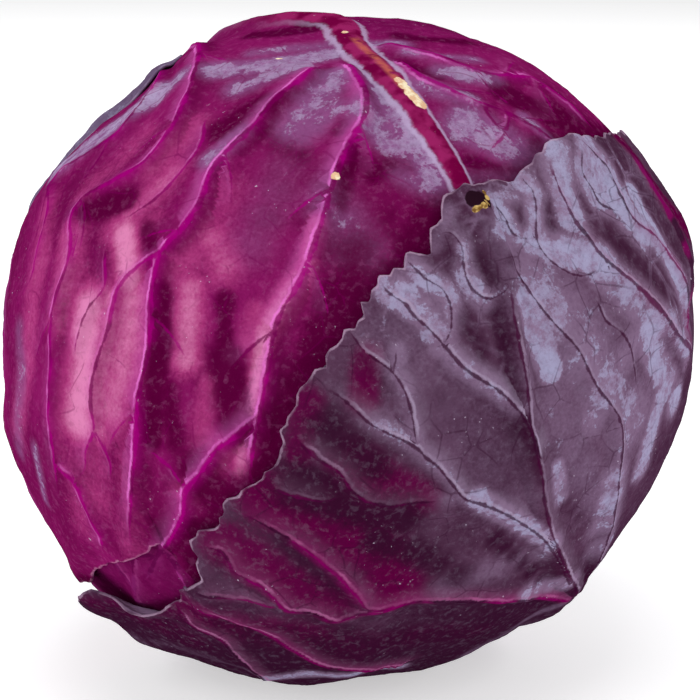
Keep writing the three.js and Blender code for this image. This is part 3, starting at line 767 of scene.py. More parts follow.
def leaf_mesh(leaf, under):
    """The leaf as one closed mesh: a fine outer face, a rounded rim and a coarser inner face."""
    n = max(COARSER * 4, int(FINE * leaf.squares) // (2 * COARSER) * 2 * COARSER)
    grid = grid_over(leaf, n)
    d = grid.reshape(-1, 3)
    inside = np.maximum(leaf.inside_by(d), 0)
    free = leaf.freedom(d)
    ribs, marks = leaf.ribbing(d)
    net, net_side = net_of(d, leaf)
    floor = heart_radius(d) + LAYER_GAP + leaf.lift(d, inside)
    for lower in under:
        floor = floor + spread_out(lower.load(d).reshape(n + 1, n + 1), 2).ravel()
    waves = WAVES[0] * ripple(d, WAVES[1], 11) + RIPPLES[0] * ripple(d, RIPPLES[1], 12)
    waves = waves + NET_HEIGHT * np.exp(-net / NET_WIDTH) - 0.1
    relief = kept(ribs, free) * smooth(inside, 0, 4) + free * smooth(inside, 1, 6) * waves
    thickness = MARGIN_THICKNESS + (LEAF_THICKNESS - MARGIN_THICKNESS) * smooth(inside, 0, MARGIN_TAPER)
    outer_height = floor + thickness + np.maximum(relief, -DEEPEST)

    rows, columns = rim_places(n)
    at_rim = rows * (n + 1) + columns
    inward = grid[np.clip(rows, 1, n - 1), np.clip(columns, 1, n - 1)]
    bulge = unit(d[at_rim] + unit(d[at_rim] - inward) * RIM_BULGE / HEAD_RADIUS)
    rim_height = floor[at_rim] + thickness[at_rim] / 2

    every = np.arange(0, n + 1, COARSER)
    inner = grid[np.ix_(every, every)].reshape(-1, 3)
    inner_height = floor.reshape(n + 1, n + 1)[np.ix_(every, every)].ravel()

    directions = np.concatenate([d, bulge, inner])
    heights = np.concatenate([outer_height, rim_height, inner_height])
    points = directions * heights[:, None] + HEAD_CENTRE
    points[:, 2] = np.maximum(points[:, 2], 0)
    faces = np.concatenate([
        grid_faces(n, 0),
        rim_faces(at_rim, len(d), n),
        grid_faces(n // COARSER, len(d) + len(bulge))[:, ::-1],
    ])

    marks.update(net=net, net_side=net_side, edge=inside)
    marks.update(leaf_zones(leaf, d, marks["vein_off"], net))
    whole = {name: spread_marks(values, at_rim, every, n) for name, values in marks.items()}
    sides = [np.ones(len(d)), np.full(len(bulge), 0.7), np.zeros(len(inner))]
    whole["outer_face"] = np.concatenate(sides)
    return mesh_piece(leaf.name + "_blade", points, faces, whole)


def grid_faces(n, first):
    """Triangles of a grid of n squares a side, with the shorter-looking diagonal alternating."""
    i, j = np.meshgrid(np.arange(n), np.arange(n))
    p = first + j * (n + 1) + i
    q, r, s = p + 1, p + n + 2, p + n + 1
    rising = ((i < n / 2) == (j < n / 2))[..., None]
    first_half = np.where(rising, np.stack([p, q, r], -1), np.stack([p, q, s], -1))
    second_half = np.where(rising, np.stack([p, r, s], -1), np.stack([q, r, s], -1))
    return np.concatenate([first_half.reshape(-1, 3), second_half.reshape(-1, 3)])


def rim_faces(at_rim, bulge_first, n):
    """The strip from the outer face over the rounded rim to the inner face."""
    around = len(at_rim)
    k = np.arange(around)
    after = (k + 1) % around
    bulge = bulge_first + k
    bulge_after = bulge_first + after
    faces = [
        np.stack([at_rim, bulge, at_rim[after]], -1),
        np.stack([at_rim[after], bulge, bulge_after], -1),
    ]
    coarse = n // COARSER
    rows, columns = rim_places(coarse)
    inner = bulge_first + around + rows * (coarse + 1) + columns
    for c in range(len(inner)):
        f = [bulge_first + (c * COARSER + step) % around for step in range(COARSER + 1)]
        this, following = inner[c], inner[(c + 1) % len(inner)]
        half = COARSER // 2
        faces.append(np.array([[f[step], this, f[step + 1]] for step in range(half)]))
        faces.append(np.array([[f[half], this, following]]))
        faces.append(np.array([[f[step], following, f[step + 1]] for step in range(half, COARSER)]))
    return np.concatenate(faces)


def spread_marks(values, at_rim, every, n):
    """Values on the outer face, repeated for the rim and the inner face."""
    square = values.reshape(n + 1, n + 1)
    return np.concatenate([values, values[at_rim], square[np.ix_(every, every)].ravel()])


def add_mark(mesh, name, values):
    """Named values at a mesh's points, which its material reads."""
    mesh.attributes.new(name, "FLOAT", "POINT").data.foreach_set("value", values.astype(np.float32))


def mesh_piece(name, points, faces, marks):
    """A smooth-shaded object from points in mm, triangles and named values at its points."""
    mesh = bpy.data.meshes.new(name)
    mesh.vertices.add(len(points))
    mesh.vertices.foreach_set("co", (points / 1000).astype(np.float32).ravel())
    mesh.loops.add(len(faces) * 3)
    mesh.loops.foreach_set("vertex_index", faces.astype(np.int32).ravel())
    mesh.polygons.add(len(faces))
    mesh.polygons.foreach_set("loop_start", np.arange(0, len(faces) * 3, 3, dtype=np.int32))
    mesh.polygons.foreach_set("use_smooth", np.ones(len(faces), dtype=bool))
    mesh.update(calc_edges=True)
    mesh.validate()
    for mark, values in marks.items():
        add_mark(mesh, mark, values)
    piece = bpy.data.objects.new(name, mesh)
    bpy.context.scene.collection.objects.link(piece)
    return piece


def strokes(d, places):
    """The greatest of several soft strokes, each (x, y, to x, to y, strength, spread in degrees)."""
    out = np.zeros(len(d))
    for x, y, to_x, to_y, strength, spread in places:
        count = 2 + int(math.hypot(to_x - x, to_y - y) / (5 * spread))
        for share in np.linspace(0, 1, count):
            at = on_leaves(x + (to_x - x) * share, y + (to_y - y) * share)
            out = np.maximum(out, strength * bump(d, at, spread))
    return out


# Bloom strokes on the top leaf; at its top and upper left limb they are partly painted sheen.
TOP_BLOOM_AND_SHEEN = [
    (215, 64, 330, 46, 1, 3.2), (235, 80, 290, 64, 0.8, 3), (335, 75, 290, 125, 0.85, 3.6),
    (330, 105, 300, 130, 0.7, 3.6), (250, 44, 330, 36, 0.6, 2.4), (240, 78, 300, 60, 0.7, 3),
    (240, 128, 208, 158, 0.9, 2.2), (150, 92, 58, 160, 2.2, 3.4), (176, 76, 120, 118, 1, 3),
    (372, 60, 440, 180, 1.1, 3), (395, 95, 425, 150, 1.1, 3.4), (362, 110, 400, 140, 0.85, 3.6),
    (400, 165, 440, 190, 0.6, 3), (365, 38, 400, 36, 0.9, 2.6), (410, 48, 480, 52, 0.7, 2),
    (440, 66, 500, 74, 0.9, 2), (420, 80, 470, 95, 0.7, 2.8), (470, 120, 540, 158, 1, 4.4),
    (528, 112, 556, 140, 0.9, 1.8), (478, 176, 520, 172, 0.7, 2.4), (12, 330, 18, 450, 0.5, 2.5),
    (36, 450, 44, 500, 0.6, 1.8), (330, 190, 350, 250, 0.42, 5), (285, 160, 250, 240, 0.3, 6),
    (330, 200, 370, 250, 0.5, 5),
]
# Painted sheen: pale pink patches on the top leaf that stand in for its soft waxy highlights.
TOP_PINK_SHEEN = [
    (128, 300, 112, 410, 0.74, 5), (82, 310, 78, 420, 1.05, 4.6), (118, 232, 126, 278, 1.05, 3.2),
    (66, 236, 58, 320, 0.62, 4), (88, 440, 96, 490, 0.44, 6), (186, 288, 181, 358, 0.78, 3.2),
    (104, 300, 98, 430, 0.7, 4), (150, 215, 112, 236, 0.4, 3), (208, 236, 222, 264, 0.62, 4),
    (200, 240, 178, 270, 0.5, 4), (206, 385, 202, 440, 0.5, 2.6), (168, 168, 112, 226, 0.6, 4),
    (190, 120, 150, 165, 0.5, 4), (140, 130, 80, 190, 0.45, 4), (40, 210, 22, 330, 0.5, 4),
    (22, 320, 16, 430, 0.5, 4), (320, 222, 302, 276, 0.8, 2), (300, 278, 262, 332, 0.85, 2.4),
    (256, 312, 250, 340, 0.5, 2.6), (222, 190, 212, 220, 0.35, 5), (262, 336, 250, 410, 0.95, 1.8),
    (248, 410, 240, 470, 0.7, 1.8), (124, 440, 134, 540, 0.34, 4), (230, 450, 190, 490, 0.5, 3),
    (60, 420, 84, 520, 0.34, 4),
]
# Dark areas of the top leaf: partly its own deep tone, partly painted shade beside ridges and under the
# front leaf's margin.
TOP_DARK_AND_SHADE = [
    (218, 124, 262, 100, 1, 3.2), (84, 210, 122, 196, 1, 2.4), (145, 228, 150, 245, 0.7, 2),
    (352, 150, 340, 200, 0.8, 1.8), (374, 170, 392, 158, 0.9, 2.2), (340, 128, 352, 118, 0.8, 1.6),
    (340, 290, 296, 410, 1, 4.4), (290, 420, 266, 500, 1, 2.4), (222, 300, 222, 340, 0.9, 2.2),
    (222, 360, 240, 430, 1, 3.4), (158, 290, 154, 440, 1, 2), (165, 390, 175, 440, 0.8, 2.6),
    (350, 158, 412, 158, 0.6, 2.6), (392, 215, 400, 240, 0.6, 3), (358, 250, 345, 330, 0.9, 5),
    (425, 205, 395, 262, 0.8, 2.6), (508, 84, 598, 130, 1.1, 3.4), (400, 60, 440, 70, 0.7, 2),
    (400, 28, 470, 34, 0.9, 2), (475, 158, 505, 168, 0.9, 2), (200, 470, 235, 520, 0.9, 5),
    (165, 530, 215, 560, 0.7, 4), (262, 128, 300, 150, 0.6, 3), (250, 26, 330, 20, 1, 2.2),
    (60, 300, 52, 440, 0.4, 1.8),
]
# Bloom strokes on the front leaf; some are painted highlight on the lit panel and right limb, and along
# the bottom rim a painted reflection of the pale floor.
FRONT_BLOOM_AND_SHEEN = [
    (448, 212, 436, 246, 0.5, 1.8), (548, 158, 570, 215, 1.3, 3), (580, 150, 640, 230, 1.4, 3.4),
    (535, 240, 600, 262, 1.4, 3), (490, 200, 540, 200, 0.7, 2), (632, 190, 684, 300, 1.6, 1.7),
    (400, 290, 440, 330, 0.8, 3), (462, 250, 482, 296, 0.8, 2), (600, 270, 660, 330, 0.8, 4),
    (650, 330, 684, 400, 1.1, 3.4), (670, 400, 650, 470, 1, 3), (480, 500, 552, 545, 1.15, 2.2),
    (563, 470, 566, 500, 1, 2), (530, 596, 568, 584, 1.4, 2.8), (262, 674, 400, 676, 2.2, 2),
    (140, 632, 240, 668, 0.6, 2), (450, 590, 540, 560, 0.5, 4), (620, 480, 600, 570, 0.7, 5),
    (470, 660, 570, 612, 1, 3), (526, 300, 552, 370, 1.5, 2.4), (530, 280, 640, 420, 0.62, 9),
    (560, 400, 600, 500, 0.42, 7), (400, 340, 520, 500, 0.34, 9), (640, 340, 600, 420, 0.62, 5),
]
FRONT_BESIDE = [
    (500, 220, 620, 180, 1.1, 8), (400, 290, 480, 300, 0.9, 8), (420, 360, 500, 380, 0.8, 8),
    (640, 230, 690, 330, 1, 8), (380, 420, 500, 500, 0.6, 8), (600, 480, 640, 440, 0.6, 8),
]
FRONT_PINK = [
    (190, 610, 340, 650, 0.9, 6), (340, 650, 480, 640, 0.6, 4), (230, 540, 330, 600, 0.8, 5),
    (265, 490, 350, 540, 0.9, 5), (345, 500, 400, 590, 1, 5), (350, 460, 420, 500, 0.8, 4),
    (368, 360, 362, 400, 0.9, 2.6), (310, 400, 300, 450, 0.7, 3), (110, 600, 190, 640, 0.9, 4),
    (622, 142, 690, 236, 1.3, 2.4), (688, 300, 692, 340, 1, 1.4),
]
# Dark areas of the front leaf: its tear and deep tones, and painted shade over its lower part.
FRONT_DARK_AND_SHADE = [
    (478, 262, 500, 286, 0.8, 2.6), (488, 232, 505, 262, 0.7, 2), (499, 300, 516, 392, 0.95, 2.4),
    (524, 420, 542, 480, 0.7, 1.6), (500, 545, 545, 585, 0.8, 2.6), (462, 320, 480, 350, 0.7, 2.4),
    (440, 240, 452, 262, 0.5, 2), (440, 400, 520, 480, 0.42, 6), (300, 480, 400, 520, 0.9, 5),
    (300, 540, 340, 580, 0.6, 5), (565, 500, 585, 520, 0.5, 2), (610, 235, 668, 300, 0.55, 2.6),
    (330, 430, 370, 460, 0.8, 5), (478, 198, 486, 210, 1, 1.2), (516, 205, 524, 225, 0.5, 1.4),
    (545, 205, 552, 228, 0.6, 1.8), (400, 620, 520, 620, 0.7, 4), (200, 580, 300, 640, 0.5, 6),
    (380, 540, 460, 580, 0.8, 4),
]


def leaf_zones(leaf, d, vein_off, net):
    """Where a leaf is bloomed, pink and dark, from 0 to 1. Its hidden side is evenly bloomed, and the
    side it lies on has lost its bloom.
    Dark holds painted shade on the underside, beside the top leaf's ridges, under the front leaf's
    margin and over the front leaf's lower part. On the top leaf pink is a painted sheen, and on the top
    and front leaves some bloom is painted highlight."""
    away = smooth(d @ NEARER, 0.3, -0.3)
    under = smooth(d @ DOWN, 0.3, 0.75)
    worn_off = 0.55 + 0.25 * ripple(d, 45, 21)
    beside = np.maximum(np.exp(-((vein_off / 3.2) ** 2)), 0.6 * np.exp(-((net / 0.8) ** 2)))
    even = np.ones(len(d))
    if leaf is top:
        bloom, pink, dark = (strokes(d, places) for places in (TOP_BLOOM_AND_SHEEN, TOP_PINK_SHEEN, TOP_DARK_AND_SHADE))
        # painted shadow on the top leaf just beside the front leaf's margin
        shaded = smooth(front.inside_by(d), -9, -1) * smooth(d @ NEARER, 0.0, 0.2)
        bloom = np.maximum(bloom, away * worn_off)
        dark = np.maximum(dark, 0.8 * shaded)
    elif leaf is front:
        bloom, pink, dark = (strokes(d, places) for places in (FRONT_BLOOM_AND_SHEEN, FRONT_PINK, FRONT_DARK_AND_SHADE))
        bloom = np.maximum(bloom, beside * strokes(d, FRONT_BESIDE)) * (1 - 0.6 * np.minimum(pink, 1))
        bloom = np.maximum(bloom, away * worn_off)
    elif leaf is inner_left:
        bloom, pink, dark = 0.1 * even, 0.3 * even, 0.3 * even
    else:
        bloom, pink, dark = np.maximum(worn_off, 0.85 * beside), 0 * even, 0 * even
    bloom = bloom * (1 - 0.65 * dark) * (1 - 0.6 * under)
    # the underside is darkened as painted shade
    return {"bloom": bloom, "pink": pink, "dark": np.maximum(dark, 0.8 * under)}


def shade(r, g, b):
    """A colour as linear light from its 0 to 255 screen values."""
    screen = (r / 255, g / 255, b / 255)
    linear = [((c + 0.055) / 1.055) ** 2.4 if c > 0.04 else c / 12.92 for c in screen]
    return (*linear, 1.0)


class Shader:
    """A material's node tree, with a short call for each kind of node."""

    def __init__(self, name, roughness, specular=0.5):
        self.material = bpy.data.materials.new(name)
        self.material.use_nodes = True
        self.tree = self.material.node_tree
        self.surface = self.tree.nodes["Principled BSDF"]
        self.surface.inputs["Roughness"].default_value = roughness
        self.surface.inputs["Specular IOR Level"].default_value = specular
        self.where = self.tree.nodes.new("ShaderNodeTexCoord").outputs["Object"]

    def feed(self, socket, value):
        if isinstance(value, bpy.types.NodeSocket):
            self.tree.links.new(value, socket)
        else:
            socket.default_value = value

    def mark(self, name):
        node = self.tree.nodes.new("ShaderNodeAttribute")
        node.attribute_name = name
        return node.outputs["Fac"]

    def noise(self, size, detail=3.0, roughness=0.5, distortion=0.0):
        """Noise with features of a size in mm."""
        node = self.tree.nodes.new("ShaderNodeTexNoise")
        self.feed(node.inputs["Vector"], self.where)
        node.inputs["Scale"].default_value = 1000 / size
        node.inputs["Detail"].default_value = detail
        node.inputs["Roughness"].default_value = roughness
        node.inputs["Distortion"].default_value = distortion
        return node.outputs["Fac"]

    def math(self, operation, a, b=0.0):
        node = self.tree.nodes.new("ShaderNodeMath")
        node.operation = operation
        self.feed(node.inputs[0], a)
        self.feed(node.inputs[1], b)
        return node.outputs[0]

    def plus(self, a, b):
        return self.math("ADD", a, b)

    def minus(self, a, b):
        return self.math("SUBTRACT", a, b)

    def absolute(self, a):
        return self.math("ABSOLUTE", a)

    def uneven(self, amount, *noise):
        """Noise about zero, from minus to plus half an amount."""
        return self.times(self.minus(self.noise(*noise), 0.5), amount)

    def step(self, value, low, high):
        """0 at low, 1 at high and smooth between."""
        node = self.tree.nodes.new("ShaderNodeMapRange")
        node.interpolation_type = "SMOOTHSTEP"
        self.feed(node.inputs["Value"], value)
        self.feed(node.inputs["From Min"], low)
        self.feed(node.inputs["From Max"], high)
        return node.outputs["Result"]

    def falling(self, value, low, high):
        return self.minus(1.0, self.step(value, low, high))

    def times(self, *values):
        out = values[0]
        for value in values[1:]:
            out = self.math("MULTIPLY", out, value)
        return out

    def mix(self, factor, a, b, kind="RGBA"):
        node = self.tree.nodes.new("ShaderNodeMix")
        node.data_type = kind
        self.feed(node.inputs["Factor"], factor)
        self.feed(node.inputs["A"], a)
        self.feed(node.inputs["B"], b)
        return node.outputs["Result"]

    def bump(self, height, distance, strength=1.0):
        node = self.tree.nodes.new("ShaderNodeBump")
        self.feed(node.inputs["Height"], height)
        node.inputs["Distance"].default_value = distance / 1000
        node.inputs["Strength"].default_value = strength
        self.feed(self.surface.inputs["Normal"], node.outputs["Normal"])

    def finish(self, colour, roughness=None):
        self.feed(self.surface.inputs["Base Color"], colour)
        if roughness is not None:
            self.feed(self.surface.inputs["Roughness"], roughness)
        return self.material


def leaf_material(
    name, rib, deep, middle, rosy, pink, bloom, haze, dark_line, bright_line, lit, lit_pink, rim,
):
    """A waxy blade: deep and middle purple with pink and dark areas, a pale bloom that is rubbed off in
    blotches, painted highlight on the flanks of veins that face the light and painted shade on those
    that face away, and thin lines on the veins' crests, with a pale painted highlight line beside them
    on the side towards the light, pinker on pink veins."""
    s = Shader(name, roughness=0.4, specular=0.0)
    off, side, half = s.mark("vein_off"), s.mark("vein_side"), s.mark("vein_half")
    size, facing, pinkness = s.mark("vein_size"), s.mark("vein_lit"), s.mark("vein_pink")
    cloud = s.noise(24, 4, 0.55, 0.3)
    streak = s.noise(1.6, 4, 0.65, 0.3)
    stipple = s.minus(s.noise(0.7, 2, 0.5), 0.5)
    patchy = s.uneven(1.6, 9, 8, 0.72, 0.2)

    # the skin's own colour with its pink and dark areas, and painted highlight and painted shade on the
    # flanks of its veins
    base = s.step(s.plus(cloud, s.times(stipple, 0.2)), 0.34, 0.64)
    colour = s.mix(s.plus(s.times(base, 0.55), 0.45), deep, middle)
    # pink areas: on the top leaf a painted sheen, elsewhere the skin's own colour
    zone = s.plus(s.mark("pink"), s.plus(s.times(patchy, 0.3), s.times(stipple, 0.3)))
    colour = s.mix(s.step(zone, 0.1, 0.62), colour, rosy)
    colour = s.mix(s.times(s.step(zone, 0.45, 1.05), 0.9), colour, pink)
    # dark areas: partly the skin's deep tone, partly painted shade
    zone = s.plus(s.mark("dark"), s.plus(s.times(patchy, -0.5), s.times(stipple, 0.4)))
    colour = s.mix(s.times(s.step(zone, 0.15, 0.8), 0.92), colour, deep)
    # painted highlight on the vein flanks that face the light
    lit_flank = s.times(s.falling(off, 0.5, 5.0), size, s.step(facing, 0.0, 0.9), 0.36)
    colour = s.mix(lit_flank, colour, s.mix(pinkness, lit, lit_pink))
    # painted shade on the vein flanks that face away from it
    shaded_flank = s.times(s.falling(off, 1.2, 5.5), size, s.step(facing, 0.0, -0.8), 0.85)
    colour = s.mix(shaded_flank, colour, deep)

    # the bloom: a thin veil, and powder where it isn't rubbed off
    bloomed = s.mark("bloom")
    veil = s.times(s.step(s.plus(bloomed, s.times(stipple, 0.2)), 0.05, 0.7), 0.7)
    colour = s.mix(veil, colour, haze)
    left_on = s.plus(bloomed, s.plus(s.times(patchy, 1.5), s.times(stipple, 0.5)))
    covered = s.times(s.step(left_on, 0.58, 0.76), s.plus(s.times(bloomed, 0.25), 0.42))
    covered = s.times(covered, s.step(bloomed, 0.1, 0.4))
    powder = s.plus(s.times(s.noise(2.4, 7, 0.78), 0.7), s.times(s.noise(11, 3), 0.3))
    colour = s.mix(covered, colour, s.mix(s.step(powder, 0.36, 0.58), haze, bloom))
    colour = s.mix(s.times(s.step(streak, 0.5, 0.68), 0.08), colour, lit)
    colour = s.mix(s.times(s.falling(streak, 0.34, 0.48), 0.16), colour, deep)

    # veinlets, then the glow, the line and the painted highlight border along the veins' crests
    net_line = s.falling(s.absolute(s.mark("net_side")), 0.05, 0.28)
    net_line = s.times(net_line, s.falling(s.mark("net"), 0.3, 0.8), s.step(s.noise(11, 4), 0.42, 0.62))
    colour = s.mix(s.times(net_line, 0.45), colour, dark_line)
    slow = s.noise(13, 3, 0.6)
    glow = s.times(s.falling(off, 0.2, 2.6), pinkness, s.step(slow, 0.36, 0.6), s.step(size, 0.1, 0.6))
    colour = s.mix(s.times(glow, 0.55), colour, bright_line)
    ragged = s.uneven(1.3, 2.4, 4, 0.65)
    outside = s.minus(s.plus(s.absolute(side), ragged), half)
    near = s.falling(s.minus(off, half), 0.35, 0.9)
    line = s.times(s.falling(outside, -0.15, 0.2), near, s.step(size, 0.02, 0.2))
    core = s.mix(s.times(pinkness, s.step(slow, 0.4, 0.55)), dark_line, bright_line)
    colour = s.mix(s.times(line, 0.8), colour, core)
    # the border is a painted highlight, only on the side of a crest that faces the light
    beside = s.falling(s.absolute(s.minus(outside, 0.4)), 0.05, 0.5)
    broken = s.plus(s.times(s.step(s.noise(8, 3, 0.6), 0.42, 0.58), 0.6), 0.25)
    border = s.times(beside, s.step(size, 0.1, 0.5), s.falling(off, 1.2, 2.0), s.step(facing, 0.0, 0.7))
    border = s.times(border, broken, 0.8)
    colour = s.mix(border, colour, s.mix(pinkness, lit, lit_pink))
    if rib:
        colour = rib(s, colour)
    # specks, the dry margin and the hidden face
    dust = s.times(s.step(s.noise(0.8, 2, 0.5), 0.71, 0.77), s.step(s.noise(14, 2), 0.5, 0.62), 0.5)
    colour = s.mix(dust, colour, shade(214, 200, 222))
    edge = s.falling(s.plus(s.mark("edge"), ragged), 0.0, 0.4)
    colour = s.mix(s.times(edge, s.step(s.noise(5, 3), 0.36, 0.6), 0.6), colour, rim)
    colour = s.mix(s.mark("outer_face"), haze, colour)

    roughness = s.mix(covered, 0.36, 0.6, "FLOAT")
    grain = s.plus(s.times(s.noise(1.1, 3, 0.6), 0.35), s.times(s.noise(5, 4, 0.6), 0.65))
    s.bump(grain, 0.45, 0.6)
    return s.finish(colour, roughness)


def worn_through(s, mark):
    """A mark's area, with a frayed outline."""
    return s.step(s.plus(s.mark(mark), s.uneven(0.5, 2.5, 4, 0.65)), 0.34, 0.46)


def pale_rib(s, colour, ends=0.8):
    """A midrib that pales towards the stem, where it is thick, up to a share of its length."""
    uneven = s.plus(s.absolute(s.mark("rib_side")), s.uneven(0.9, 4, 4, 0.6))
    pale = s.times(s.falling(uneven, 0.5, 1.3), s.falling(s.mark("rib_along"), 0.1, ends), 0.8)
    skin = s.mix(s.step(s.noise(3, 5, 0.7), 0.35, 0.65), shade(150, 104, 146), shade(186, 158, 184))
    return s.mix(pale, colour, skin)


def crimson_rib(s, colour):
    """The top leaf's midrib: crimson with pale borders, worn orange along its ridge and scarred."""
    colour = pale_rib(s, colour, 0.62)
    side = s.mark("rib_side")
    shown = s.step(s.mark("rib_along"), 0.5, 0.57)
    uneven = s.plus(s.absolute(side), s.uneven(1.1, 4, 4, 0.6))
    border = s.falling(s.absolute(s.minus(uneven, 1.4)), 0.05, 0.42)
    border = s.times(border, s.step(s.mark("rib_along"), 0.52, 0.64), 0.7)
    colour = s.mix(border, colour, shade(176, 156, 190))
    crimson = s.mix(s.step(s.noise(5, 3), 0.4, 0.6), shade(104, 2, 56), shade(140, 30, 88))
    colour = s.mix(s.times(s.falling(uneven, 0.95, 1.3), shown), colour, crimson)
    ridge = s.falling(s.absolute(s.minus(side, 0.4)), 0.1, 0.7)
    worn = s.times(ridge, s.mark("worn"), s.step(s.noise(3, 4), 0.3, 0.55), 0.85)
    colour = s.mix(worn, colour, shade(186, 96, 78))
    cream = s.mix(s.step(s.noise(2, 3), 0.4, 0.6), shade(216, 176, 140), shade(238, 224, 190))
    return s.mix(worn_through(s, "scar"), colour, cream)


def torn_spot(s, colour):
    """The front leaf's small dark tear, with dry yellow bits at its rim."""
    colour = s.mix(worn_through(s, "worn"), pale_rib(s, colour, 0.45), shade(34, 14, 26))
    dry = s.mix(s.step(s.noise(1, 3), 0.4, 0.6), shade(112, 80, 40), shade(196, 164, 100))
    return s.mix(worn_through(s, "scar"), colour, dry)


# Scars are each (x, y, spread in degrees), and worn places are strokes
RIB_SCARS = [
    (401, 80, 1.0), (406, 86, 1.2), (411, 92, 1.2), (416, 97, 1.2), (421, 101, 1.3), (346, 31, 0.6),
    (335, 174, 0.75), (278, 50, 0.5),
]
RIB_WORN = [(356, 40, 400, 84, 1, 2)]
TEAR_BITS = [(472, 214, 0.55), (478, 212, 0.6), (483, 207, 0.6), (485, 200, 0.5), (482, 195, 0.4)]
TEAR = [(471, 203, 480, 205, 1, 1.5)]


def mark_wear(piece, scars, worn_places):
    """Worn and scarred places on a leaf, as values at its points."""
    points = np.empty(len(piece.data.vertices) * 3, np.float32)
    piece.data.vertices.foreach_get("co", points)
    d = unit(points.reshape(-1, 3) * 1000 - HEAD_CENTRE)
    scar = np.zeros(len(d))
    for x, y, spread in scars:
        scar = np.maximum(scar, bump(d, on_leaves(x, y), spread))
    add_mark(piece.data, "scar", scar)
    add_mark(piece.data, "worn", strokes(d, worn_places))


LOOKS = {
    "leaf_inner_left": dict(
        slot="young_leaf", deep=(78, 0, 50), middle=(108, 14, 76), rosy=(116, 20, 84),
        pink=(124, 30, 92), bloom=(140, 104, 146), haze=(112, 70, 116),
        dark_line=(84, 6, 60), bright_line=(176, 60, 146), lit=(150, 62, 122),
        lit_pink=(176, 70, 140), rim=(186, 110, 160),
    ),
    # On the top leaf, pink is a painted sheen colour; on every leaf, lit and the pinker lit colour are
    # painted highlight colours.
    "leaf_top": dict(
        slot="magenta_leaf", deep=(76, 0, 46), middle=(124, 20, 86), rosy=(156, 50, 110),
        pink=(204, 122, 166), bloom=(166, 150, 184), haze=(126, 78, 126),
        dark_line=(104, 0, 72), bright_line=(152, 0, 112), lit=(196, 110, 172),
        lit_pink=(224, 112, 204), rim=(186, 120, 156), rib=crimson_rib,
    ),
    "leaf_front": dict(
        slot="bloomed_leaf", deep=(48, 12, 38), middle=(82, 52, 76), rosy=(84, 10, 58),
        pink=(84, 0, 54), bloom=(164, 163, 196), haze=(136, 110, 140),
        dark_line=(48, 8, 38), bright_line=(116, 0, 80), lit=(160, 144, 170),
        lit_pink=(164, 84, 134), rim=(176, 146, 172), rib=torn_spot,
    ),
    "leaf_back_left": dict(
        slot="old_leaf", deep=(64, 40, 66), middle=(92, 66, 92), rosy=(106, 52, 94),
        pink=(120, 40, 96), bloom=(140, 138, 164), haze=(112, 98, 128),
        dark_line=(64, 34, 62), bright_line=(96, 50, 90), lit=(160, 150, 176),
        lit_pink=(150, 110, 150), rim=(160, 140, 168), rib=pale_rib,
    ),
    "leaf_back_right": dict(
        slot="old_leaf", deep=(62, 30, 56), middle=(90, 56, 84), rosy=(104, 48, 90),
        pink=(120, 40, 96), bloom=(134, 130, 158), haze=(108, 90, 120),
        dark_line=(64, 30, 60), bright_line=(96, 46, 86), lit=(156, 142, 170),
        lit_pink=(150, 104, 146), rim=(160, 126, 156), rib=pale_rib,
    ),
}


def settle(piece, node, material):
    """Puts a finished piece in the place of its CAD node."""
    piece.data.materials.clear()
    piece.data.materials.append(material)
    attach(piece, "root")
    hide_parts(node)


for k, leaf in enumerate(LEAVES):
    piece = leaf_mesh(leaf, LEAVES[:k])
    if leaf is top:
        mark_wear(piece, RIB_SCARS, RIB_WORN)
    if leaf is front:
        mark_wear(piece, TEAR_BITS, TEAR)
    look = dict(LOOKS[leaf.name])
    slot, rib = look.pop("slot"), look.pop("rib", None)
    colours = {part: shade(*screen) for part, screen in look.items()}
    settle(piece, leaf.name, leaf_material(leaf.name, rib, **colours))


def heart_piece():
    """The dense ball under the wrapper leaves, with low folds like the leaves it is made of."""
    bpy.ops.mesh.primitive_ico_sphere_add(subdivisions=6, radius=1)
    ball = bpy.context.object
    ball.name = "heart_ball"
    d = np.empty(len(ball.data.vertices) * 3, np.float32)
    ball.data.vertices.foreach_get("co", d)
    d = unit(d.reshape(-1, 3).astype(float))
    height = heart_radius(d) - 0.5 + 0.3 * ripple(d, 22, 5) - 0.3
    points = (d * height[:, None] + HEAD_CENTRE) / 1000
    ball.data.vertices.foreach_set("co", points.astype(np.float32).ravel())
    ball.data.polygons.foreach_set("use_smooth", np.ones(len(ball.data.polygons), dtype=bool))
    ball.data.update()
    settle(ball, "heart", heart_material())


def heart_material():
    s = Shader("heart_leaf", roughness=0.4, specular=0.2)
    colour = s.mix(s.step(s.noise(18, 4), 0.35, 0.65), shade(96, 12, 62), shade(140, 50, 104))
    s.bump(s.noise(7, 4), 0.6, 0.6)
    return s.finish(colour)


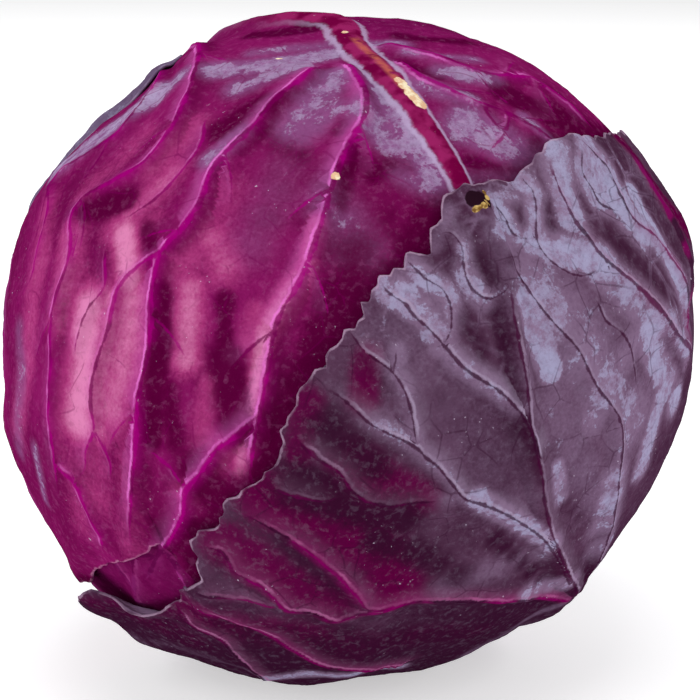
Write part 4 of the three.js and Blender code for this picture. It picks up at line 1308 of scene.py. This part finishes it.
def stump_piece():
    """The cut stump: a fibrous cylinder whose cream cut face is rough and browned at its rim."""
    rings, around = 40, 96
    bark = 1.2  # what the side carries as its share of the way from the middle, past the cut's rim
    turn = np.linspace(0, 2 * math.pi, around, endpoint=False)
    side_x = unit(np.cross(STEM, [0, 0, 1]))
    side_y = np.cross(STEM, side_x)
    start = round_radius(STEM) - 1.0
    profile = [
        (STUMP_RADIUS, start),
        (STUMP_RADIUS + 0.3, STUMP_END - 3),
        (STUMP_RADIUS - 0.2, STUMP_END - 1),
        (STUMP_RADIUS - 1.4, STUMP_END),
    ]
    profile += [(r, STUMP_END) for r in np.linspace(STUMP_RADIUS - 2.4, 0.4, rings)]
    points, marks = [], []
    for r, h in profile:
        wobble = 1 + 0.02 * np.sin(turn * 5 + 1) + 0.012 * np.sin(turn * 13)
        flat = r < STUMP_RADIUS - 1.0 and h == STUMP_END
        drop = 0.25 * np.sin(turn * 3 + r * 0.9) * (r / STUMP_RADIUS) if flat else 0 * turn
        ring = (side_x * np.cos(turn)[:, None] + side_y * np.sin(turn)[:, None]) * (r * wobble)[:, None]
        points.append(ring + STEM * (h - np.abs(drop))[:, None] + HEAD_CENTRE)
        marks.append(np.full(around, r / STUMP_RADIUS if h == STUMP_END else bark))
    points = np.concatenate([*points, [STEM * STUMP_END + HEAD_CENTRE], [STEM * start + HEAD_CENTRE]])
    faces = []
    for ring in range(len(profile) - 1):
        for k in range(around):
            a, b = ring * around + k, ring * around + (k + 1) % around
            faces += [[a, b, b + around], [a, b + around, a + around]]
    last = (len(profile) - 1) * around
    faces += [[last + k, last + (k + 1) % around, len(points) - 2] for k in range(around)]
    faces += [[(k + 1) % around, k, len(points) - 1] for k in range(around)]
    marks = np.concatenate([*marks, [0.0], [bark]])
    piece = mesh_piece("stem_stump", points, np.array(faces), {"from_middle": marks})
    settle(piece, "stem", stump_material())


def stump_material():
    s = Shader("cut_stem", roughness=0.7, specular=0.35)
    fibre = s.noise(1.4, 4, 0.6)
    rind = s.step(s.mark("from_middle"), 0.86, 0.97)
    colour = s.mix(s.step(fibre, 0.35, 0.7), shade(204, 188, 156), shade(226, 214, 190))
    pith = s.times(s.falling(s.mark("from_middle"), 0.3, 0.62), 0.35)
    colour = s.mix(pith, colour, shade(238, 232, 216))
    colour = s.mix(s.times(rind, 0.8), colour, shade(150, 118, 120))
    s.bump(fibre, 0.5, 0.8)
    return s.finish(colour)


heart_piece()
stump_piece()


def look_from(thing, place, target):
    thing.location = place
    thing.rotation_euler = (Vector(target) - Vector(place)).to_track_quat("-Z", "Y").to_euler()


centre = Vector(HEAD_CENTRE / 1000)
camera = bpy.data.objects.new("camera", bpy.data.cameras.new("camera"))
camera.data.lens = LENS
camera.data.sensor_width = SENSOR
look_from(camera, centre + Vector(NEARER) * (VIEW_DISTANCE / 1000), centre)
bpy.context.scene.collection.objects.link(camera)
bpy.context.scene.camera = camera


def softbox(name, place, size, power):
    lamp = bpy.data.objects.new(name, bpy.data.lights.new(name, "AREA"))
    lamp.data.shape = "RECTANGLE"
    lamp.data.size, lamp.data.size_y = size
    lamp.data.energy = power
    look_from(lamp, place, centre)
    bpy.context.scene.collection.objects.link(lamp)


softbox("left_softbox", (-0.85, -0.45, 0.5), (0.5, 0.9), 6)
softbox("right_softbox", (0.85, -0.35, 0.5), (0.4, 0.8), 4)
softbox("top_softbox", (-0.05, -0.15, 1.0), (0.7, 0.5), 4)
softbox("back_softbox", (0.1, 0.8, 0.5), (0.9, 0.6), 2)

world = bpy.data.worlds.new("pale_room")
world.use_nodes = True
world.node_tree.nodes["Background"].inputs["Color"].default_value = (1, 1, 1, 1)
world.node_tree.nodes["Background"].inputs["Strength"].default_value = 0.3
bpy.context.scene.world = world

bpy.ops.mesh.primitive_plane_add(size=6, location=(0, 0, 0))
floor = bpy.context.object
floor.name = "floor"
pale = Shader("pale_floor", roughness=0.8, specular=0.1)
pale.surface.inputs["Emission Color"].default_value = (1, 1, 1, 1)
pale.surface.inputs["Emission Strength"].default_value = 0.5
floor.data.materials.append(pale.finish((0.8, 0.8, 0.81, 1)))

bpy.context.scene.view_settings.view_transform = "Standard"
